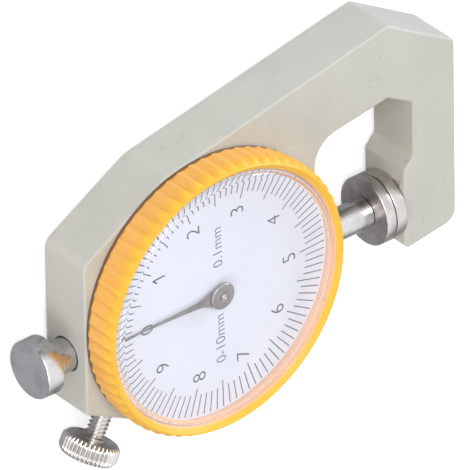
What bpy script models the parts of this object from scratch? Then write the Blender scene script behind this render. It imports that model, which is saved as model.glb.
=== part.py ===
# Dial thickness gauge: a die-cast C frame, a sprung spindle with a rack, a pinion that
# turns the pointer under a turning dial, and a knurled screw that locks the spindle.
# The dial axis is +Z through the origin and the back of the frame lies on z = 0.
# The spindle runs along X and the fixed anvil is at its +X end.

import math

import bmesh
import bpy
from mathutils import Vector

MM = 0.001

# Fits shared by all pieces
SEAT_GAP = 0.1 * MM
RUNNING_GAP = 0.04 * MM
OVERRUN = 1.0 * MM
ROUND_STEPS = 40
SMALL_STEPS = 16
LARGE_STEPS = 72
CORNER_STEPS = 5

# Frame outline: margins around the rim, and heights from the dial axis
REAR_MARGIN = 2.9 * MM
REAR_TOP = 11.6 * MM
SHOULDER_X = -6.5 * MM
SHOULDER_MARGIN = 2.0 * MM
PEAK_INSET = 11.5 * MM
PEAK_Y = 27.1 * MM
JAW_WIDTH = 9.05 * MM
JAW_TOP = 20.0 * MM
JAW_HEEL_MARGIN = 4.45 * MM
JAW_TOE_MARGIN = 5.65 * MM
JAW_TOE_CHAMFER = 0.6 * MM
RELIEF_DEPTH = 1.6 * MM
RELIEF_START = 2.6 * MM
RELIEF_RISE = 1.7 * MM
THROAT_SIDE_TOP = 12.9 * MM
THROAT_PEAK_INSET = 4.35 * MM
THROAT_PEAK_Y = 15.5 * MM
FRONT_MARGIN = 2.3 * MM
THROAT_FRONT_TOP = 13.6 * MM
LOW_MARGIN = 1.0 * MM
HEEL_X = 9.0 * MM
HEEL_MARGIN = 7.05 * MM
FACET_HEIGHT = 6.2 * MM
FACET_ANGLE = math.radians(28.0)
EDGE_ROUND = 0.45 * MM
SMALL_CORNER = 0.7 * MM
BODY_CORNER = 2.0 * MM
SHOULDER_CORNER = 4.0 * MM
THROAT_CORNER = 4.2 * MM

# Movement cavity and the rim that carries the bezel
CAVITY_MARGIN = 2.45 * MM
CAVITY_FLOOR = 1.2 * MM
FLOOR_GAP = 0.6 * MM
RIM_WALL = 2.0 * MM
RIM_CLEARANCE = 0.9 * MM
SNAP_WIRE_RADIUS = 0.35 * MM
SNAP_HEIGHT = 1.3 * MM
SNAP_OPENING = math.radians(24.0)

# Spindle, its bushes and its contacts
TRAVEL = 10.0 * MM
SPINDLE_DROP = 4.45 * MM
SPINDLE_RADIUS = 2.25 * MM
STEM_RADIUS = 2.4 * MM
STEM_STEP_GAP = 1.25 * MM
REAR_HOLE_RADIUS = 2.58 * MM
REAR_HOLE_DEPTH = 1.6 * MM
BUSH_WALL = 0.75 * MM
BUSH_SEAT_RUNOUT = 3.0 * MM
CONTACT_RADIUS = 5.0 * MM
CONTACT_ROOM = 1.9 * MM
MOVING_CONTACT_THICKNESS = 1.65 * MM
ANVIL_THICKNESS = 1.8 * MM
CONTACT_CHAMFER = 0.2 * MM
ANVIL_STEM_RADIUS = 2.0 * MM
ANVIL_STEM_LENGTH = 4.6 * MM
SPIGOT_RADIUS = 1.4 * MM
SPIGOT_LENGTH = 1.0 * MM
BUTTON_STANDOFF = 3.55 * MM
BUTTON_RADIUS = 4.2 * MM
BUTTON_THICKNESS = 2.8 * MM
BUTTON_CHAMFER = 0.25 * MM
GUIDE_PIN_RADIUS = 0.6 * MM
GUIDE_PIN_X = -0.6 * MM
GUIDE_PIN_SOCKET = 0.9 * MM
GUIDE_SLOT_DEPTH = 0.5 * MM
GUIDE_SLOT_GAP = 0.08 * MM

# Rack and pinion: one turn of the pointer for the whole travel
PINION_TEETH = 16
PRESSURE_ANGLE = math.radians(20.0)
ADDENDUM_SHARE = 0.8
DEDENDUM_SHARE = 1.05
BACKLASH = 0.04 * MM
PINION_WIDTH = 2.3 * MM
RACK_WIDTH = 2.6 * MM
RACK_SPARE_TEETH = 4
RACK_PAD_LENGTH = 1.9 * MM
RACK_SEAT = 1.3 * MM
RACK_SCREW_RADIUS = 0.35 * MM
RACK_SCREW_HEAD = 0.65 * MM
RACK_SCREW_SINK = 0.45 * MM
RACK_SCREW_LENGTH = 1.2 * MM

# Arbor, pointer and hairspring
ARBOR_RADIUS = 0.6 * MM
PIVOT_RADIUS = 0.3 * MM
NOSE_RADIUS = 0.42 * MM
COLLET_RADIUS = 1.15 * MM
COLLET_HEIGHT = 0.8 * MM
HAIRSPRING_TURNS = 4
HAIRSPRING_POINTS = 20
HAIRSPRING_RADIUS = 4.3 * MM
HAIRSPRING_THICKNESS = 0.12 * MM
HAIRSPRING_WIDTH = 0.5 * MM
STUD_WIDTH = 1.2 * MM
POINTER_MARGIN = 1.85 * MM
POINTER_TAIL_WIDTH = 1.3 * MM
POINTER_TIP_WIDTH = 0.35 * MM
POINTER_EYE_RADIUS = 1.5 * MM
POINTER_THICKNESS = 0.2 * MM
POINTER_CLEARANCE = 0.2 * MM
HUB_RADIUS = 2.0 * MM
HUB_HEIGHT = 0.4 * MM
HUB_CROWN = 0.15 * MM

# Plates and posts of the movement
PIVOT_PLATE_LENGTH = 10.0 * MM
PIVOT_PLATE_DEPTH = 9.0 * MM
PIVOT_PLATE_EDGE = 1.6 * MM
PIVOT_PLATE_THICKNESS = 0.6 * MM
PLATE_SCREW_INSET = 1.5 * MM
BRIDGE_THICKNESS = 0.8 * MM
BRIDGE_CLEARANCE = 0.8 * MM
BRIDGE_MARGIN = 2.3 * MM
PILLAR_RADIUS = 1.25 * MM
PILLAR_FOOT_RADIUS = 0.7 * MM
PILLAR_FOOT_DEPTH = 0.6 * MM
PILLAR_INSET = 2.85 * MM
PILLAR_ANGLE = math.radians(48.2)
PILLAR_LOW_X = 4.5 * MM
PILLAR_LOW_GAP = 2.4 * MM
SCREW_RADIUS = 0.5 * MM
SCREW_HEAD_RADIUS = 0.95 * MM
SCREW_HEAD_HEIGHT = 0.5 * MM
SCREW_GRIP = 1.6 * MM

# Return spring
SPRING_Y = 4.4 * MM
SPRING_RADIUS = 1.05 * MM
SPRING_WIRE_RADIUS = 0.15 * MM
SPRING_TURNS = 11
SPRING_POINTS = 10
SPRING_LEAD = 0.8 * MM
SPRING_POST_INSET = 2.7 * MM
SPRING_POST_RADIUS = 0.6 * MM
SPRING_POST_TOP = 1.2 * MM
ARM_THICKNESS = 1.1 * MM
ARM_SADDLE_WALL = 0.5 * MM
ARM_SADDLE_WRAP = math.radians(12.0)
ARM_FINGER_WIDTH = 1.2 * MM

# Bezel, dial and crystal
BEZEL_WALL = 3.0 * MM
BEZEL_LIP = 0.5 * MM
BEZEL_GAP = 0.15 * MM
RIDGE_COUNT = 63
RIDGE_DEPTH = 0.35 * MM
RIDGE_STEPS = 2
BASE_CHAMFER = 0.8 * MM
RIM_ROUND = 0.8 * MM
INNER_SLOPE = 0.9 * MM
BEZEL_BAND = 1.5 * MM
DIAL_EDGE_GAP = 0.25 * MM
DIAL_THICKNESS = 0.4 * MM
DIAL_CLEARANCE = 0.45 * MM
DIAL_HOLE_RADIUS = 1.2 * MM
CRYSTAL_THICKNESS = 0.8 * MM
CRYSTAL_SKIRT = 0.9 * MM
CRYSTAL_ROUND = 0.35 * MM
HUB_CLEARANCE = 0.375 * MM
CRYSTAL_CROWN = 0.15 * MM

# Lock screw, along the normal of the lower rear facet
LOCK_X = -7.8 * MM
LOCK_THREAD_RADIUS = 1.4 * MM
LOCK_STANDOFF = 4.65 * MM
LOCK_HEAD_RADIUS = 4.15 * MM
LOCK_HEAD_LENGTH = 2.9 * MM
LOCK_HEAD_CHAMFER = 0.5 * MM
LOCK_COLLAR_RADIUS = 1.75 * MM
LOCK_COLLAR_LENGTH = 0.3 * MM
LOCK_PAD_LENGTH = 4.0 * MM
LOCK_BOSS_WIDTH = 6.0 * MM
LOCK_BOSS_GAP = 0.6 * MM
KNURL_COUNT = 38
KNURL_DEPTH = 0.25 * MM

# Rack and pinion, then the case around them
PITCH_RADIUS = TRAVEL / (2 * math.pi)
MODULE = 2 * PITCH_RADIUS / PINION_TEETH
TOOTH_PITCH = math.pi * MODULE
ADDENDUM = ADDENDUM_SHARE * MODULE
DEDENDUM = DEDENDUM_SHARE * MODULE
RACK_REAR_X = -RACK_SPARE_TEETH * TOOTH_PITCH / 2 - RACK_PAD_LENGTH
RACK_FRONT_X = RACK_REAR_X + TRAVEL + RACK_SPARE_TEETH * TOOTH_PITCH + 2 * RACK_PAD_LENGTH
STEM_STEP_X = RACK_REAR_X - STEM_STEP_GAP
CAVITY_RADIUS = RACK_FRONT_X + CAVITY_MARGIN
CAVITY_HALF_CHORD = math.sqrt(CAVITY_RADIUS ** 2 - SPINDLE_DROP ** 2)
RIM_RADIUS = CAVITY_RADIUS + RIM_WALL
REAR_REACH = RIM_RADIUS + REAR_MARGIN
HOUSING_FRONT = RIM_RADIUS + FRONT_MARGIN
HOUSING_DROP = RIM_RADIUS + LOW_MARGIN
SHOULDER_Y = RIM_RADIUS + SHOULDER_MARGIN
FACET_DROP = HOUSING_DROP - FACET_HEIGHT
FACET_END_X = -REAR_REACH + FACET_HEIGHT / math.tan(FACET_ANGLE)

# Places along the spindle
CONTACT_BACK_X = HOUSING_FRONT + CONTACT_ROOM + TRAVEL
CONTACT_FACE_X = CONTACT_BACK_X + MOVING_CONTACT_THICKNESS
ANVIL_TOP_X = CONTACT_FACE_X + SEAT_GAP
ANVIL_FACE_X = ANVIL_TOP_X + ANVIL_THICKNESS + SEAT_GAP
JAW_REACH = ANVIL_FACE_X + JAW_WIDTH
PEAK_X = JAW_REACH - PEAK_INSET
BUTTON_FRONT_X = -REAR_REACH - BUTTON_STANDOFF
BUTTON_FACE_X = BUTTON_FRONT_X - BUTTON_THICKNESS
SPRING_POST_X = CAVITY_RADIUS - SPRING_POST_INSET

# Heights, from the back of the frame up to the bezel's rim
PLATE_Z = CAVITY_FLOOR + SEAT_GAP
PLATE_TOP_Z = PLATE_Z + PIVOT_PLATE_THICKNESS
SPINDLE_Z = CAVITY_FLOOR + FLOOR_GAP + STEM_RADIUS
SPINDLE_TOP_Z = SPINDLE_Z + STEM_RADIUS
BODY_THICKNESS = 2 * SPINDLE_Z
BRIDGE_Z = SPINDLE_TOP_Z + BRIDGE_CLEARANCE
BRIDGE_TOP_Z = BRIDGE_Z + BRIDGE_THICKNESS
COLLET_Z = BRIDGE_TOP_Z + SCREW_HEAD_HEIGHT + 2 * SEAT_GAP
COLLET_TOP_Z = COLLET_Z + COLLET_HEIGHT
SNAP_Z = BODY_THICKNESS + SNAP_HEIGHT
RIM_TOP_Z = COLLET_TOP_Z + RIM_CLEARANCE
DIAL_Z = RIM_TOP_Z + DIAL_CLEARANCE
DIAL_TOP_Z = DIAL_Z + DIAL_THICKNESS
POINTER_Z = DIAL_TOP_Z + POINTER_CLEARANCE
POINTER_TOP_Z = POINTER_Z + POINTER_THICKNESS
HUB_Z = POINTER_TOP_Z + SEAT_GAP
CRYSTAL_UNDER_Z = HUB_Z + HUB_HEIGHT + HUB_CROWN / 2 + HUB_CLEARANCE
CRYSTAL_TOP_Z = CRYSTAL_UNDER_Z + CRYSTAL_THICKNESS
BEZEL_TOP_Z = CRYSTAL_TOP_Z + BEZEL_LIP

# Radii around the dial axis
BEZEL_RADIUS = RIM_RADIUS + BEZEL_WALL
BEZEL_INNER_RADIUS = BEZEL_RADIUS - BEZEL_BAND
DIAL_RADIUS = BEZEL_INNER_RADIUS - DIAL_EDGE_GAP
POINTER_LENGTH = DIAL_RADIUS - POINTER_MARGIN
PILLAR_CIRCLE = CAVITY_RADIUS - PILLAR_INSET

# Axes of the spindle and of the lock screw, and places of the small parts
SPINDLE_AXIS = Vector((0, -SPINDLE_DROP, SPINDLE_Z))
LOCK_DIRECTION = Vector((-math.sin(FACET_ANGLE), -math.cos(FACET_ANGLE), 0))
LOCK_ORIGIN = Vector((LOCK_X, -SPINDLE_DROP, SPINDLE_Z))
FACET_POINT = Vector((-REAR_REACH, -FACET_DROP, SPINDLE_Z))
FACET_DISTANCE = (FACET_POINT - LOCK_ORIGIN).dot(LOCK_DIRECTION)
PILLAR_PLACES = (
    (-PILLAR_CIRCLE * math.cos(PILLAR_ANGLE), PILLAR_CIRCLE * math.sin(PILLAR_ANGLE)),
    (PILLAR_CIRCLE * math.cos(PILLAR_ANGLE), PILLAR_CIRCLE * math.sin(PILLAR_ANGLE)),
    (PILLAR_LOW_X, -SPINDLE_DROP - STEM_RADIUS - PILLAR_LOW_GAP - PILLAR_RADIUS),
)
PLATE_SCREW_PLACES = (
    (-PIVOT_PLATE_LENGTH / 2 + PLATE_SCREW_INSET, PIVOT_PLATE_DEPTH - PIVOT_PLATE_EDGE - PLATE_SCREW_INSET),
    (PIVOT_PLATE_LENGTH / 2 - PLATE_SCREW_INSET, PIVOT_PLATE_DEPTH - PIVOT_PLATE_EDGE - PLATE_SCREW_INSET),
)

# Colour, roughness and metallic value of each material
FINISHES = {
    "cast_paint": ((0.60, 0.60, 0.55), 0.55, 0.0),
    "bright_steel": ((0.62, 0.61, 0.62), 0.22, 1.0),
    "spring_steel": ((0.40, 0.40, 0.42), 0.35, 1.0),
    "nickel": ((0.74, 0.72, 0.70), 0.25, 1.0),
    "brass": ((0.72, 0.55, 0.27), 0.35, 1.0),
    "bronze": ((0.62, 0.42, 0.24), 0.45, 1.0),
    "yellow_plastic": ((1.00, 0.52, 0.05), 0.40, 0.0),
    "dial_white": ((0.80, 0.82, 0.90), 0.50, 0.0),
    "clear_plastic": ((0.95, 0.97, 1.00), 0.05, 0.0),
    "dark_steel": ((0.16, 0.15, 0.15), 0.40, 0.8),
}


def clear_scene():
    for item in list(bpy.data.objects):
        bpy.data.objects.remove(item, do_unlink=True)


def make_material(name, finish):
    colour, roughness, metallic = FINISHES[finish]
    material = bpy.data.materials.new(name + "_" + finish)
    material.use_nodes = True
    shader = material.node_tree.nodes["Principled BSDF"]
    shader.inputs["Base Color"].default_value = (*colour, 1.0)
    shader.inputs["Roughness"].default_value = roughness
    shader.inputs["Metallic"].default_value = metallic
    material.diffuse_color = (*colour, 1.0)
    return material


def add_empty(name, location, direction=None):
    empty = bpy.data.objects.new(name, None)
    empty.location = location
    if direction is not None:
        empty.rotation_euler = direction.to_track_quat("Z", "Y").to_euler()
    bpy.context.collection.objects.link(empty)
    return empty


def finish_mesh(name, bm):
    bmesh.ops.recalc_face_normals(bm, faces=bm.faces)
    mesh = bpy.data.meshes.new(name)
    bm.to_mesh(mesh)
    bm.free()
    return mesh


def add_object(name, mesh, finish, parent=None, location=(0, 0, 0), rotation=(0, 0, 0)):
    mesh.materials.append(make_material(name, finish))
    mesh.shade_smooth()
    mesh.set_sharp_from_angle(angle=math.radians(30))
    item = bpy.data.objects.new(name, mesh)
    item.location = location
    item.rotation_euler = rotation
    item.parent = parent
    bpy.context.collection.objects.link(item)
    return item


def add_cutter(name, mesh, parent=None, location=(0, 0, 0), rotation=(0, 0, 0)):
    cutter = bpy.data.objects.new(name, mesh)
    cutter.location = location
    cutter.rotation_euler = rotation
    cutter.parent = parent
    cutter.hide_render = True
    cutter.display_type = "WIRE"
    bpy.context.collection.objects.link(cutter)
    return cutter


def combine(target, tool, operation="DIFFERENCE"):
    modifier = target.modifiers.new(tool.name, "BOOLEAN")
    modifier.operation = operation
    modifier.solver = "EXACT"
    modifier.object = tool


# Shapes

def turned_mesh(name, profile, steps=ROUND_STEPS, closed=False):
    # Revolves (radius, height) points about local Z; an open profile starts and ends on the axis
    bm = bmesh.new()
    verts = [bm.verts.new((radius, 0, height)) for radius, height in profile]
    pairs = list(zip(verts, verts[1:]))
    if closed:
        pairs.append((verts[-1], verts[0]))
    edges = [bm.edges.new(pair) for pair in pairs]
    bmesh.ops.spin(bm, geom=verts + edges, cent=(0, 0, 0), axis=(0, 0, 1),
                   angle=2 * math.pi, steps=steps, use_merge=True)
    bmesh.ops.remove_doubles(bm, verts=bm.verts, dist=MM / 100000)
    return finish_mesh(name, bm)


def rod_mesh(name, stations, steps=ROUND_STEPS):
    # Stations are (radius, height) pairs from one end of a solid of revolution to the other
    profile = [(0, stations[0][1]), *stations, (0, stations[-1][1])]
    return turned_mesh(name, profile, steps)


def disc_stations(radius, low, high, chamfer):
    return [(radius - chamfer, low), (radius, low + chamfer), (radius, high - chamfer), (radius - chamfer, high)]


def tube_mesh(name, inner, outer, low, high, steps=ROUND_STEPS):
    profile = [(inner, low), (outer, low), (outer, high), (inner, high)]
    return turned_mesh(name, profile, steps, closed=True)


def extruded_mesh(name, outline, low, high, edge_round=0):
    bm = bmesh.new()
    face = bm.faces.new([bm.verts.new((x, y, low)) for x, y in outline])
    grown = bmesh.ops.extrude_face_region(bm, geom=[face])
    raised = [item for item in grown["geom"] if isinstance(item, bmesh.types.BMVert)]
    bmesh.ops.translate(bm, verts=raised, vec=(0, 0, high - low))
    bmesh.ops.recalc_face_normals(bm, faces=bm.faces)
    if edge_round > 0:
        rims = [edge for edge in bm.edges if abs(edge.verts[0].co.z - edge.verts[1].co.z) < MM / 1000]
        bmesh.ops.bevel(bm, geom=rims, offset=edge_round, offset_type="OFFSET",
                        segments=2, profile=0.5, affect="EDGES", clamp_overlap=True)
    return finish_mesh(name, bm)


def box_mesh(name, low, high):
    outline = [(low[0], low[1]), (high[0], low[1]), (high[0], high[1]), (low[0], high[1])]
    return extruded_mesh(name, outline, low[2], high[2])


def arc_points(centre, radius, start, end, steps):
    return [
        (centre[0] + radius * math.cos(start + (end - start) * i / steps),
         centre[1] + radius * math.sin(start + (end - start) * i / steps))
        for i in range(steps + 1)
    ]


def rounded_outline(corners):
    # Each corner is (x, y, radius); the corner is replaced by an arc that touches both sides
    points = []
    count = len(corners)
    for index, (x, y, radius) in enumerate(corners):
        here = Vector((x, y))
        before = (Vector(corners[index - 1][:2]) - here).normalized()
        after = (Vector(corners[(index + 1) % count][:2]) - here).normalized()
        half = before.angle(after) / 2
        if radius == 0:
            points.append((x, y))
            continue
        centre = here + (before + after).normalized() * radius / math.sin(half)
        start = here + before * radius / math.tan(half) - centre
        end = here + after * radius / math.tan(half) - centre
        sweep = start.angle_signed(end)
        for step in range(CORNER_STEPS + 1):
            turn = -sweep * step / CORNER_STEPS
            ray = Vector((start.x * math.cos(turn) - start.y * math.sin(turn),
                          start.x * math.sin(turn) + start.y * math.cos(turn)))
            points.append(tuple(centre + ray))
    return points


def sweep_mesh(name, path, section):
    # Carries a closed section, given in (across, up) pairs, along a path of points
    bm = bmesh.new()
    rings = []
    for index, point in enumerate(path):
        tangent = (path[min(index + 1, len(path) - 1)] - path[max(index - 1, 0)]).normalized()
        up = Vector((0, 0, 1))
        if abs(tangent.z) > 0.9:
            up = Vector((0, 1, 0))
        across = tangent.cross(up).normalized()
        up = across.cross(tangent)
        rings.append([bm.verts.new(point + across * a + up * u) for a, u in section])
    for ring, following in zip(rings, rings[1:]):
        for i in range(len(section)):
            j = (i + 1) % len(section)
            bm.faces.new((ring[i], ring[j], following[j], following[i]))
    bm.faces.new(rings[0])
    bm.faces.new(list(reversed(rings[-1])))
    return finish_mesh(name, bm)


def round_section(radius, sides=6):
    return [(radius * math.cos(2 * math.pi * i / sides), radius * math.sin(2 * math.pi * i / sides))
            for i in range(sides)]


ALONG_X = (0, math.pi / 2, 0)


# Frame

def frame_corners():
    toe_y = -SPINDLE_DROP - JAW_TOE_MARGIN
    return [
        (-REAR_REACH, REAR_TOP, BODY_CORNER),
        (SHOULDER_X, SHOULDER_Y, SHOULDER_CORNER),
        (PEAK_X, PEAK_Y, SMALL_CORNER),
        (JAW_REACH, JAW_TOP, SMALL_CORNER),
        (JAW_REACH, -SPINDLE_DROP - JAW_HEEL_MARGIN, BODY_CORNER),
        (ANVIL_FACE_X + JAW_TOE_CHAMFER, toe_y, SMALL_CORNER / 2),
        (ANVIL_FACE_X, toe_y + JAW_TOE_CHAMFER, SMALL_CORNER / 2),
        (ANVIL_FACE_X, RELIEF_START, SMALL_CORNER),
        (ANVIL_FACE_X + RELIEF_DEPTH, RELIEF_START + RELIEF_RISE, SMALL_CORNER),
        (ANVIL_FACE_X + RELIEF_DEPTH, THROAT_SIDE_TOP, SMALL_CORNER),
        (ANVIL_FACE_X + RELIEF_DEPTH - THROAT_PEAK_INSET, THROAT_PEAK_Y, SMALL_CORNER),
        (HOUSING_FRONT, THROAT_FRONT_TOP, THROAT_CORNER),
        (HOUSING_FRONT, -SPINDLE_DROP - HEEL_MARGIN, BODY_CORNER),
        (HEEL_X, -HOUSING_DROP, BODY_CORNER),
        (FACET_END_X, -HOUSING_DROP, BODY_CORNER),
        (-REAR_REACH, -FACET_DROP, SMALL_CORNER),
    ]


def cut_round(target, name, radius, low, high, place, rotation=(0, 0, 0), steps=SMALL_STEPS):
    mesh = rod_mesh(name, [(radius, low), (radius, high)], steps)
    combine(target, add_cutter(name, mesh, location=place, rotation=rotation))


def add_rim(frame):
    groove = SNAP_WIRE_RADIUS + SEAT_GAP
    profile = [
        (CAVITY_RADIUS - OVERRUN, BODY_THICKNESS - OVERRUN),
        (RIM_RADIUS, BODY_THICKNESS - OVERRUN),
        (RIM_RADIUS, SNAP_Z - groove),
        (RIM_RADIUS - groove, SNAP_Z - groove),
        (RIM_RADIUS - groove, SNAP_Z + groove),
        (RIM_RADIUS, SNAP_Z + groove),
        (RIM_RADIUS, RIM_TOP_Z),
        (CAVITY_RADIUS - OVERRUN, RIM_TOP_Z),
    ]
    rim = add_cutter("rim_form", turned_mesh("rim_form", profile, LARGE_STEPS, closed=True))
    combine(frame, rim, "UNION")


def add_lock_boss(frame):
    # The boss carries the lock screw through the cavity up to the spindle
    across = Vector((-LOCK_DIRECTION.y, LOCK_DIRECTION.x, 0)) * LOCK_BOSS_WIDTH / 2
    near_y = -SPINDLE_DROP - STEM_RADIUS - LOCK_BOSS_GAP
    outline = []
    for side in (-across, across):
        corner = LOCK_ORIGIN + side
        near = corner + LOCK_DIRECTION * (near_y - corner.y) / LOCK_DIRECTION.y
        far = corner + LOCK_DIRECTION * (FACET_DISTANCE - OVERRUN)
        outline += [near.xy, far.xy]
    outline[2:] = reversed(outline[2:])
    mesh = extruded_mesh("lock_boss_form", outline, CAVITY_FLOOR / 2, BODY_THICKNESS - SEAT_GAP)
    combine(frame, add_cutter("lock_boss_form", mesh), "UNION")
    rotation = LOCK_DIRECTION.to_track_quat("Z", "Y").to_euler()
    cut_round(frame, "lock_hole", LOCK_THREAD_RADIUS + RUNNING_GAP, 0, FACET_DISTANCE + OVERRUN,
              LOCK_ORIGIN, rotation, ROUND_STEPS)


def add_frame():
    mesh = extruded_mesh("frame", rounded_outline(frame_corners()), 0, BODY_THICKNESS, EDGE_ROUND)
    frame = add_object("frame", mesh, "cast_paint")
    add_rim(frame)
    cut_round(frame, "cavity", CAVITY_RADIUS, CAVITY_FLOOR, RIM_TOP_Z + OVERRUN, (0, 0, 0), steps=LARGE_STEPS)
    add_lock_boss(frame)
    bush = SPINDLE_RADIUS + BUSH_WALL + SEAT_GAP
    rear_bush = STEM_RADIUS + BUSH_WALL + SEAT_GAP
    cut_round(frame, "rear_hole", REAR_HOLE_RADIUS, -REAR_REACH - OVERRUN, -CAVITY_HALF_CHORD,
              SPINDLE_AXIS, ALONG_X, ROUND_STEPS)
    seat_end = CAVITY_HALF_CHORD - BUSH_SEAT_RUNOUT
    cut_round(frame, "rear_bush_seat", rear_bush, REAR_HOLE_DEPTH - REAR_REACH, -seat_end,
              SPINDLE_AXIS, ALONG_X, ROUND_STEPS)
    cut_round(frame, "front_bush_seat", bush, seat_end, HOUSING_FRONT + OVERRUN, SPINDLE_AXIS, ALONG_X, ROUND_STEPS)
    cut_round(frame, "anvil_hole", ANVIL_STEM_RADIUS + RUNNING_GAP, ANVIL_FACE_X - OVERRUN,
              ANVIL_FACE_X + ANVIL_STEM_LENGTH + SEAT_GAP, SPINDLE_AXIS, ALONG_X, ROUND_STEPS)
    foot = PILLAR_FOOT_RADIUS + RUNNING_GAP
    for number, (x, y) in enumerate(PILLAR_PLACES, 1):
        cut_round(frame, f"pillar_hole_{number}", foot, CAVITY_FLOOR - PILLAR_FOOT_DEPTH - SEAT_GAP,
                  CAVITY_FLOOR + OVERRUN, (x, y, 0))
    cut_round(frame, "post_hole", SPRING_POST_RADIUS + RUNNING_GAP, CAVITY_FLOOR - PILLAR_FOOT_DEPTH - SEAT_GAP,
              CAVITY_FLOOR + OVERRUN, (SPRING_POST_X, SPRING_Y, 0))
    for number, (x, y) in enumerate(PLATE_SCREW_PLACES, 1):
        cut_round(frame, f"plate_screw_hole_{number}", SCREW_RADIUS + RUNNING_GAP,
                  CAVITY_FLOOR - PILLAR_FOOT_DEPTH - SEAT_GAP, CAVITY_FLOOR + OVERRUN, (x, y, 0))
    add_guide_slot(frame)
    return frame


def add_guide_slot(frame):
    half = GUIDE_PIN_RADIUS + GUIDE_SLOT_GAP
    low = (GUIDE_PIN_X - TRAVEL - half, -SPINDLE_DROP - half, CAVITY_FLOOR - GUIDE_SLOT_DEPTH)
    high = (GUIDE_PIN_X + half, -SPINDLE_DROP + half, CAVITY_FLOOR + OVERRUN)
    combine(frame, add_cutter("guide_slot", box_mesh("guide_slot", low, high)))


# Fixed pieces on the frame

def add_bushes():
    front_end = HOUSING_FRONT - SEAT_GAP
    rear_end = REAR_HOLE_DEPTH - REAR_REACH + SEAT_GAP
    front = tube_mesh("front_bush", SPINDLE_RADIUS + RUNNING_GAP, SPINDLE_RADIUS + BUSH_WALL,
                      CAVITY_HALF_CHORD, front_end)
    rear = tube_mesh("rear_bush", STEM_RADIUS + RUNNING_GAP, STEM_RADIUS + BUSH_WALL,
                     rear_end, -CAVITY_HALF_CHORD)
    add_object("front_bush", front, "bronze", location=SPINDLE_AXIS, rotation=ALONG_X)
    add_object("rear_bush", rear, "bronze", location=SPINDLE_AXIS, rotation=ALONG_X)


def add_anvil():
    end = ANVIL_FACE_X + ANVIL_STEM_LENGTH
    back = ANVIL_TOP_X + ANVIL_THICKNESS
    stations = [
        *disc_stations(CONTACT_RADIUS, ANVIL_TOP_X, back, CONTACT_CHAMFER),
        (ANVIL_STEM_RADIUS, back),
        (ANVIL_STEM_RADIUS, end),
    ]
    add_object("fixed_anvil", rod_mesh("fixed_anvil", stations), "bright_steel",
               location=SPINDLE_AXIS, rotation=ALONG_X)


def screw_mesh(name, grip, head_radius=SCREW_HEAD_RADIUS, head_height=SCREW_HEAD_HEIGHT, radius=SCREW_RADIUS):
    stations = [(radius, -grip), (radius, 0), (head_radius, 0), (head_radius, head_height)]
    return rod_mesh(name, stations, SMALL_STEPS)


def add_pivot_plate():
    half = PIVOT_PLATE_LENGTH / 2
    low = -PIVOT_PLATE_EDGE
    high = PIVOT_PLATE_DEPTH - PIVOT_PLATE_EDGE
    corners = [(-half, low, SMALL_CORNER), (-half, high, SMALL_CORNER),
               (half, high, SMALL_CORNER), (half, low, SMALL_CORNER)]
    mesh = extruded_mesh("pivot_plate", rounded_outline(corners), PLATE_Z, PLATE_TOP_Z)
    plate = add_object("pivot_plate", mesh, "brass")
    cut_round(plate, "pivot_hole", PIVOT_RADIUS + RUNNING_GAP, 0, PLATE_TOP_Z + OVERRUN, (0, 0, 0))
    for number, (x, y) in enumerate(PLATE_SCREW_PLACES, 1):
        cut_round(plate, f"plate_hole_{number}", SCREW_RADIUS + RUNNING_GAP, 0, PLATE_TOP_Z + OVERRUN, (x, y, 0))
        grip = PIVOT_PLATE_THICKNESS + PILLAR_FOOT_DEPTH
        add_object(f"plate_screw_{number}", screw_mesh(f"plate_screw_{number}", grip), "nickel",
                   location=(x, y, PLATE_TOP_Z + SEAT_GAP))


def add_pillars():
    foot_end = CAVITY_FLOOR - PILLAR_FOOT_DEPTH
    base = CAVITY_FLOOR + SEAT_GAP
    top = BRIDGE_Z - SEAT_GAP
    for number, (x, y) in enumerate(PILLAR_PLACES, 1):
        stations = [(PILLAR_FOOT_RADIUS, foot_end), (PILLAR_FOOT_RADIUS, base), (PILLAR_RADIUS, base),
                    (PILLAR_RADIUS, top)]
        name = f"pillar_{number}"
        pillar = add_object(name, rod_mesh(name, stations, SMALL_STEPS), "brass", location=(x, y, 0))
        cut_round(pillar, f"pillar_tap_{number}", SCREW_RADIUS + RUNNING_GAP, top - SCREW_GRIP, top + OVERRUN,
                  (x, y, 0))


def bridge_outline():
    # Follows the three pillars with a constant margin
    points = []
    for index, place in enumerate(PILLAR_PLACES):
        here = Vector(place)
        before = Vector(PILLAR_PLACES[index - 1]) - here
        after = Vector(PILLAR_PLACES[(index + 1) % len(PILLAR_PLACES)]) - here
        start = math.atan2(before.y, before.x) - math.pi / 2
        end = math.atan2(after.y, after.x) + math.pi / 2
        while start < end:
            start += 2 * math.pi
        points += arc_points(place, BRIDGE_MARGIN, start, end, 2 * CORNER_STEPS)
    return points


def add_bridge():
    mesh = extruded_mesh("bridge", bridge_outline(), BRIDGE_Z, BRIDGE_TOP_Z)
    bridge = add_object("bridge", mesh, "brass")
    cut_round(bridge, "bridge_bearing", ARBOR_RADIUS + RUNNING_GAP, 0, BRIDGE_TOP_Z + OVERRUN, (0, 0, 0))
    for number, (x, y) in enumerate(PILLAR_PLACES, 1):
        cut_round(bridge, f"bridge_hole_{number}", SCREW_RADIUS + RUNNING_GAP, 0, BRIDGE_TOP_Z + OVERRUN, (x, y, 0))
        name = f"bridge_screw_{number}"
        add_object(name, screw_mesh(name, SCREW_GRIP), "nickel", location=(x, y, BRIDGE_TOP_Z + SEAT_GAP))


def add_spring_post():
    foot_end = CAVITY_FLOOR - PILLAR_FOOT_DEPTH
    stations = [(SPRING_POST_RADIUS, foot_end), (SPRING_POST_RADIUS, SPINDLE_Z + SPRING_POST_TOP)]
    add_object("spring_post", rod_mesh("spring_post", stations, SMALL_STEPS), "bright_steel",
               location=(SPRING_POST_X, SPRING_Y, 0))


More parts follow.
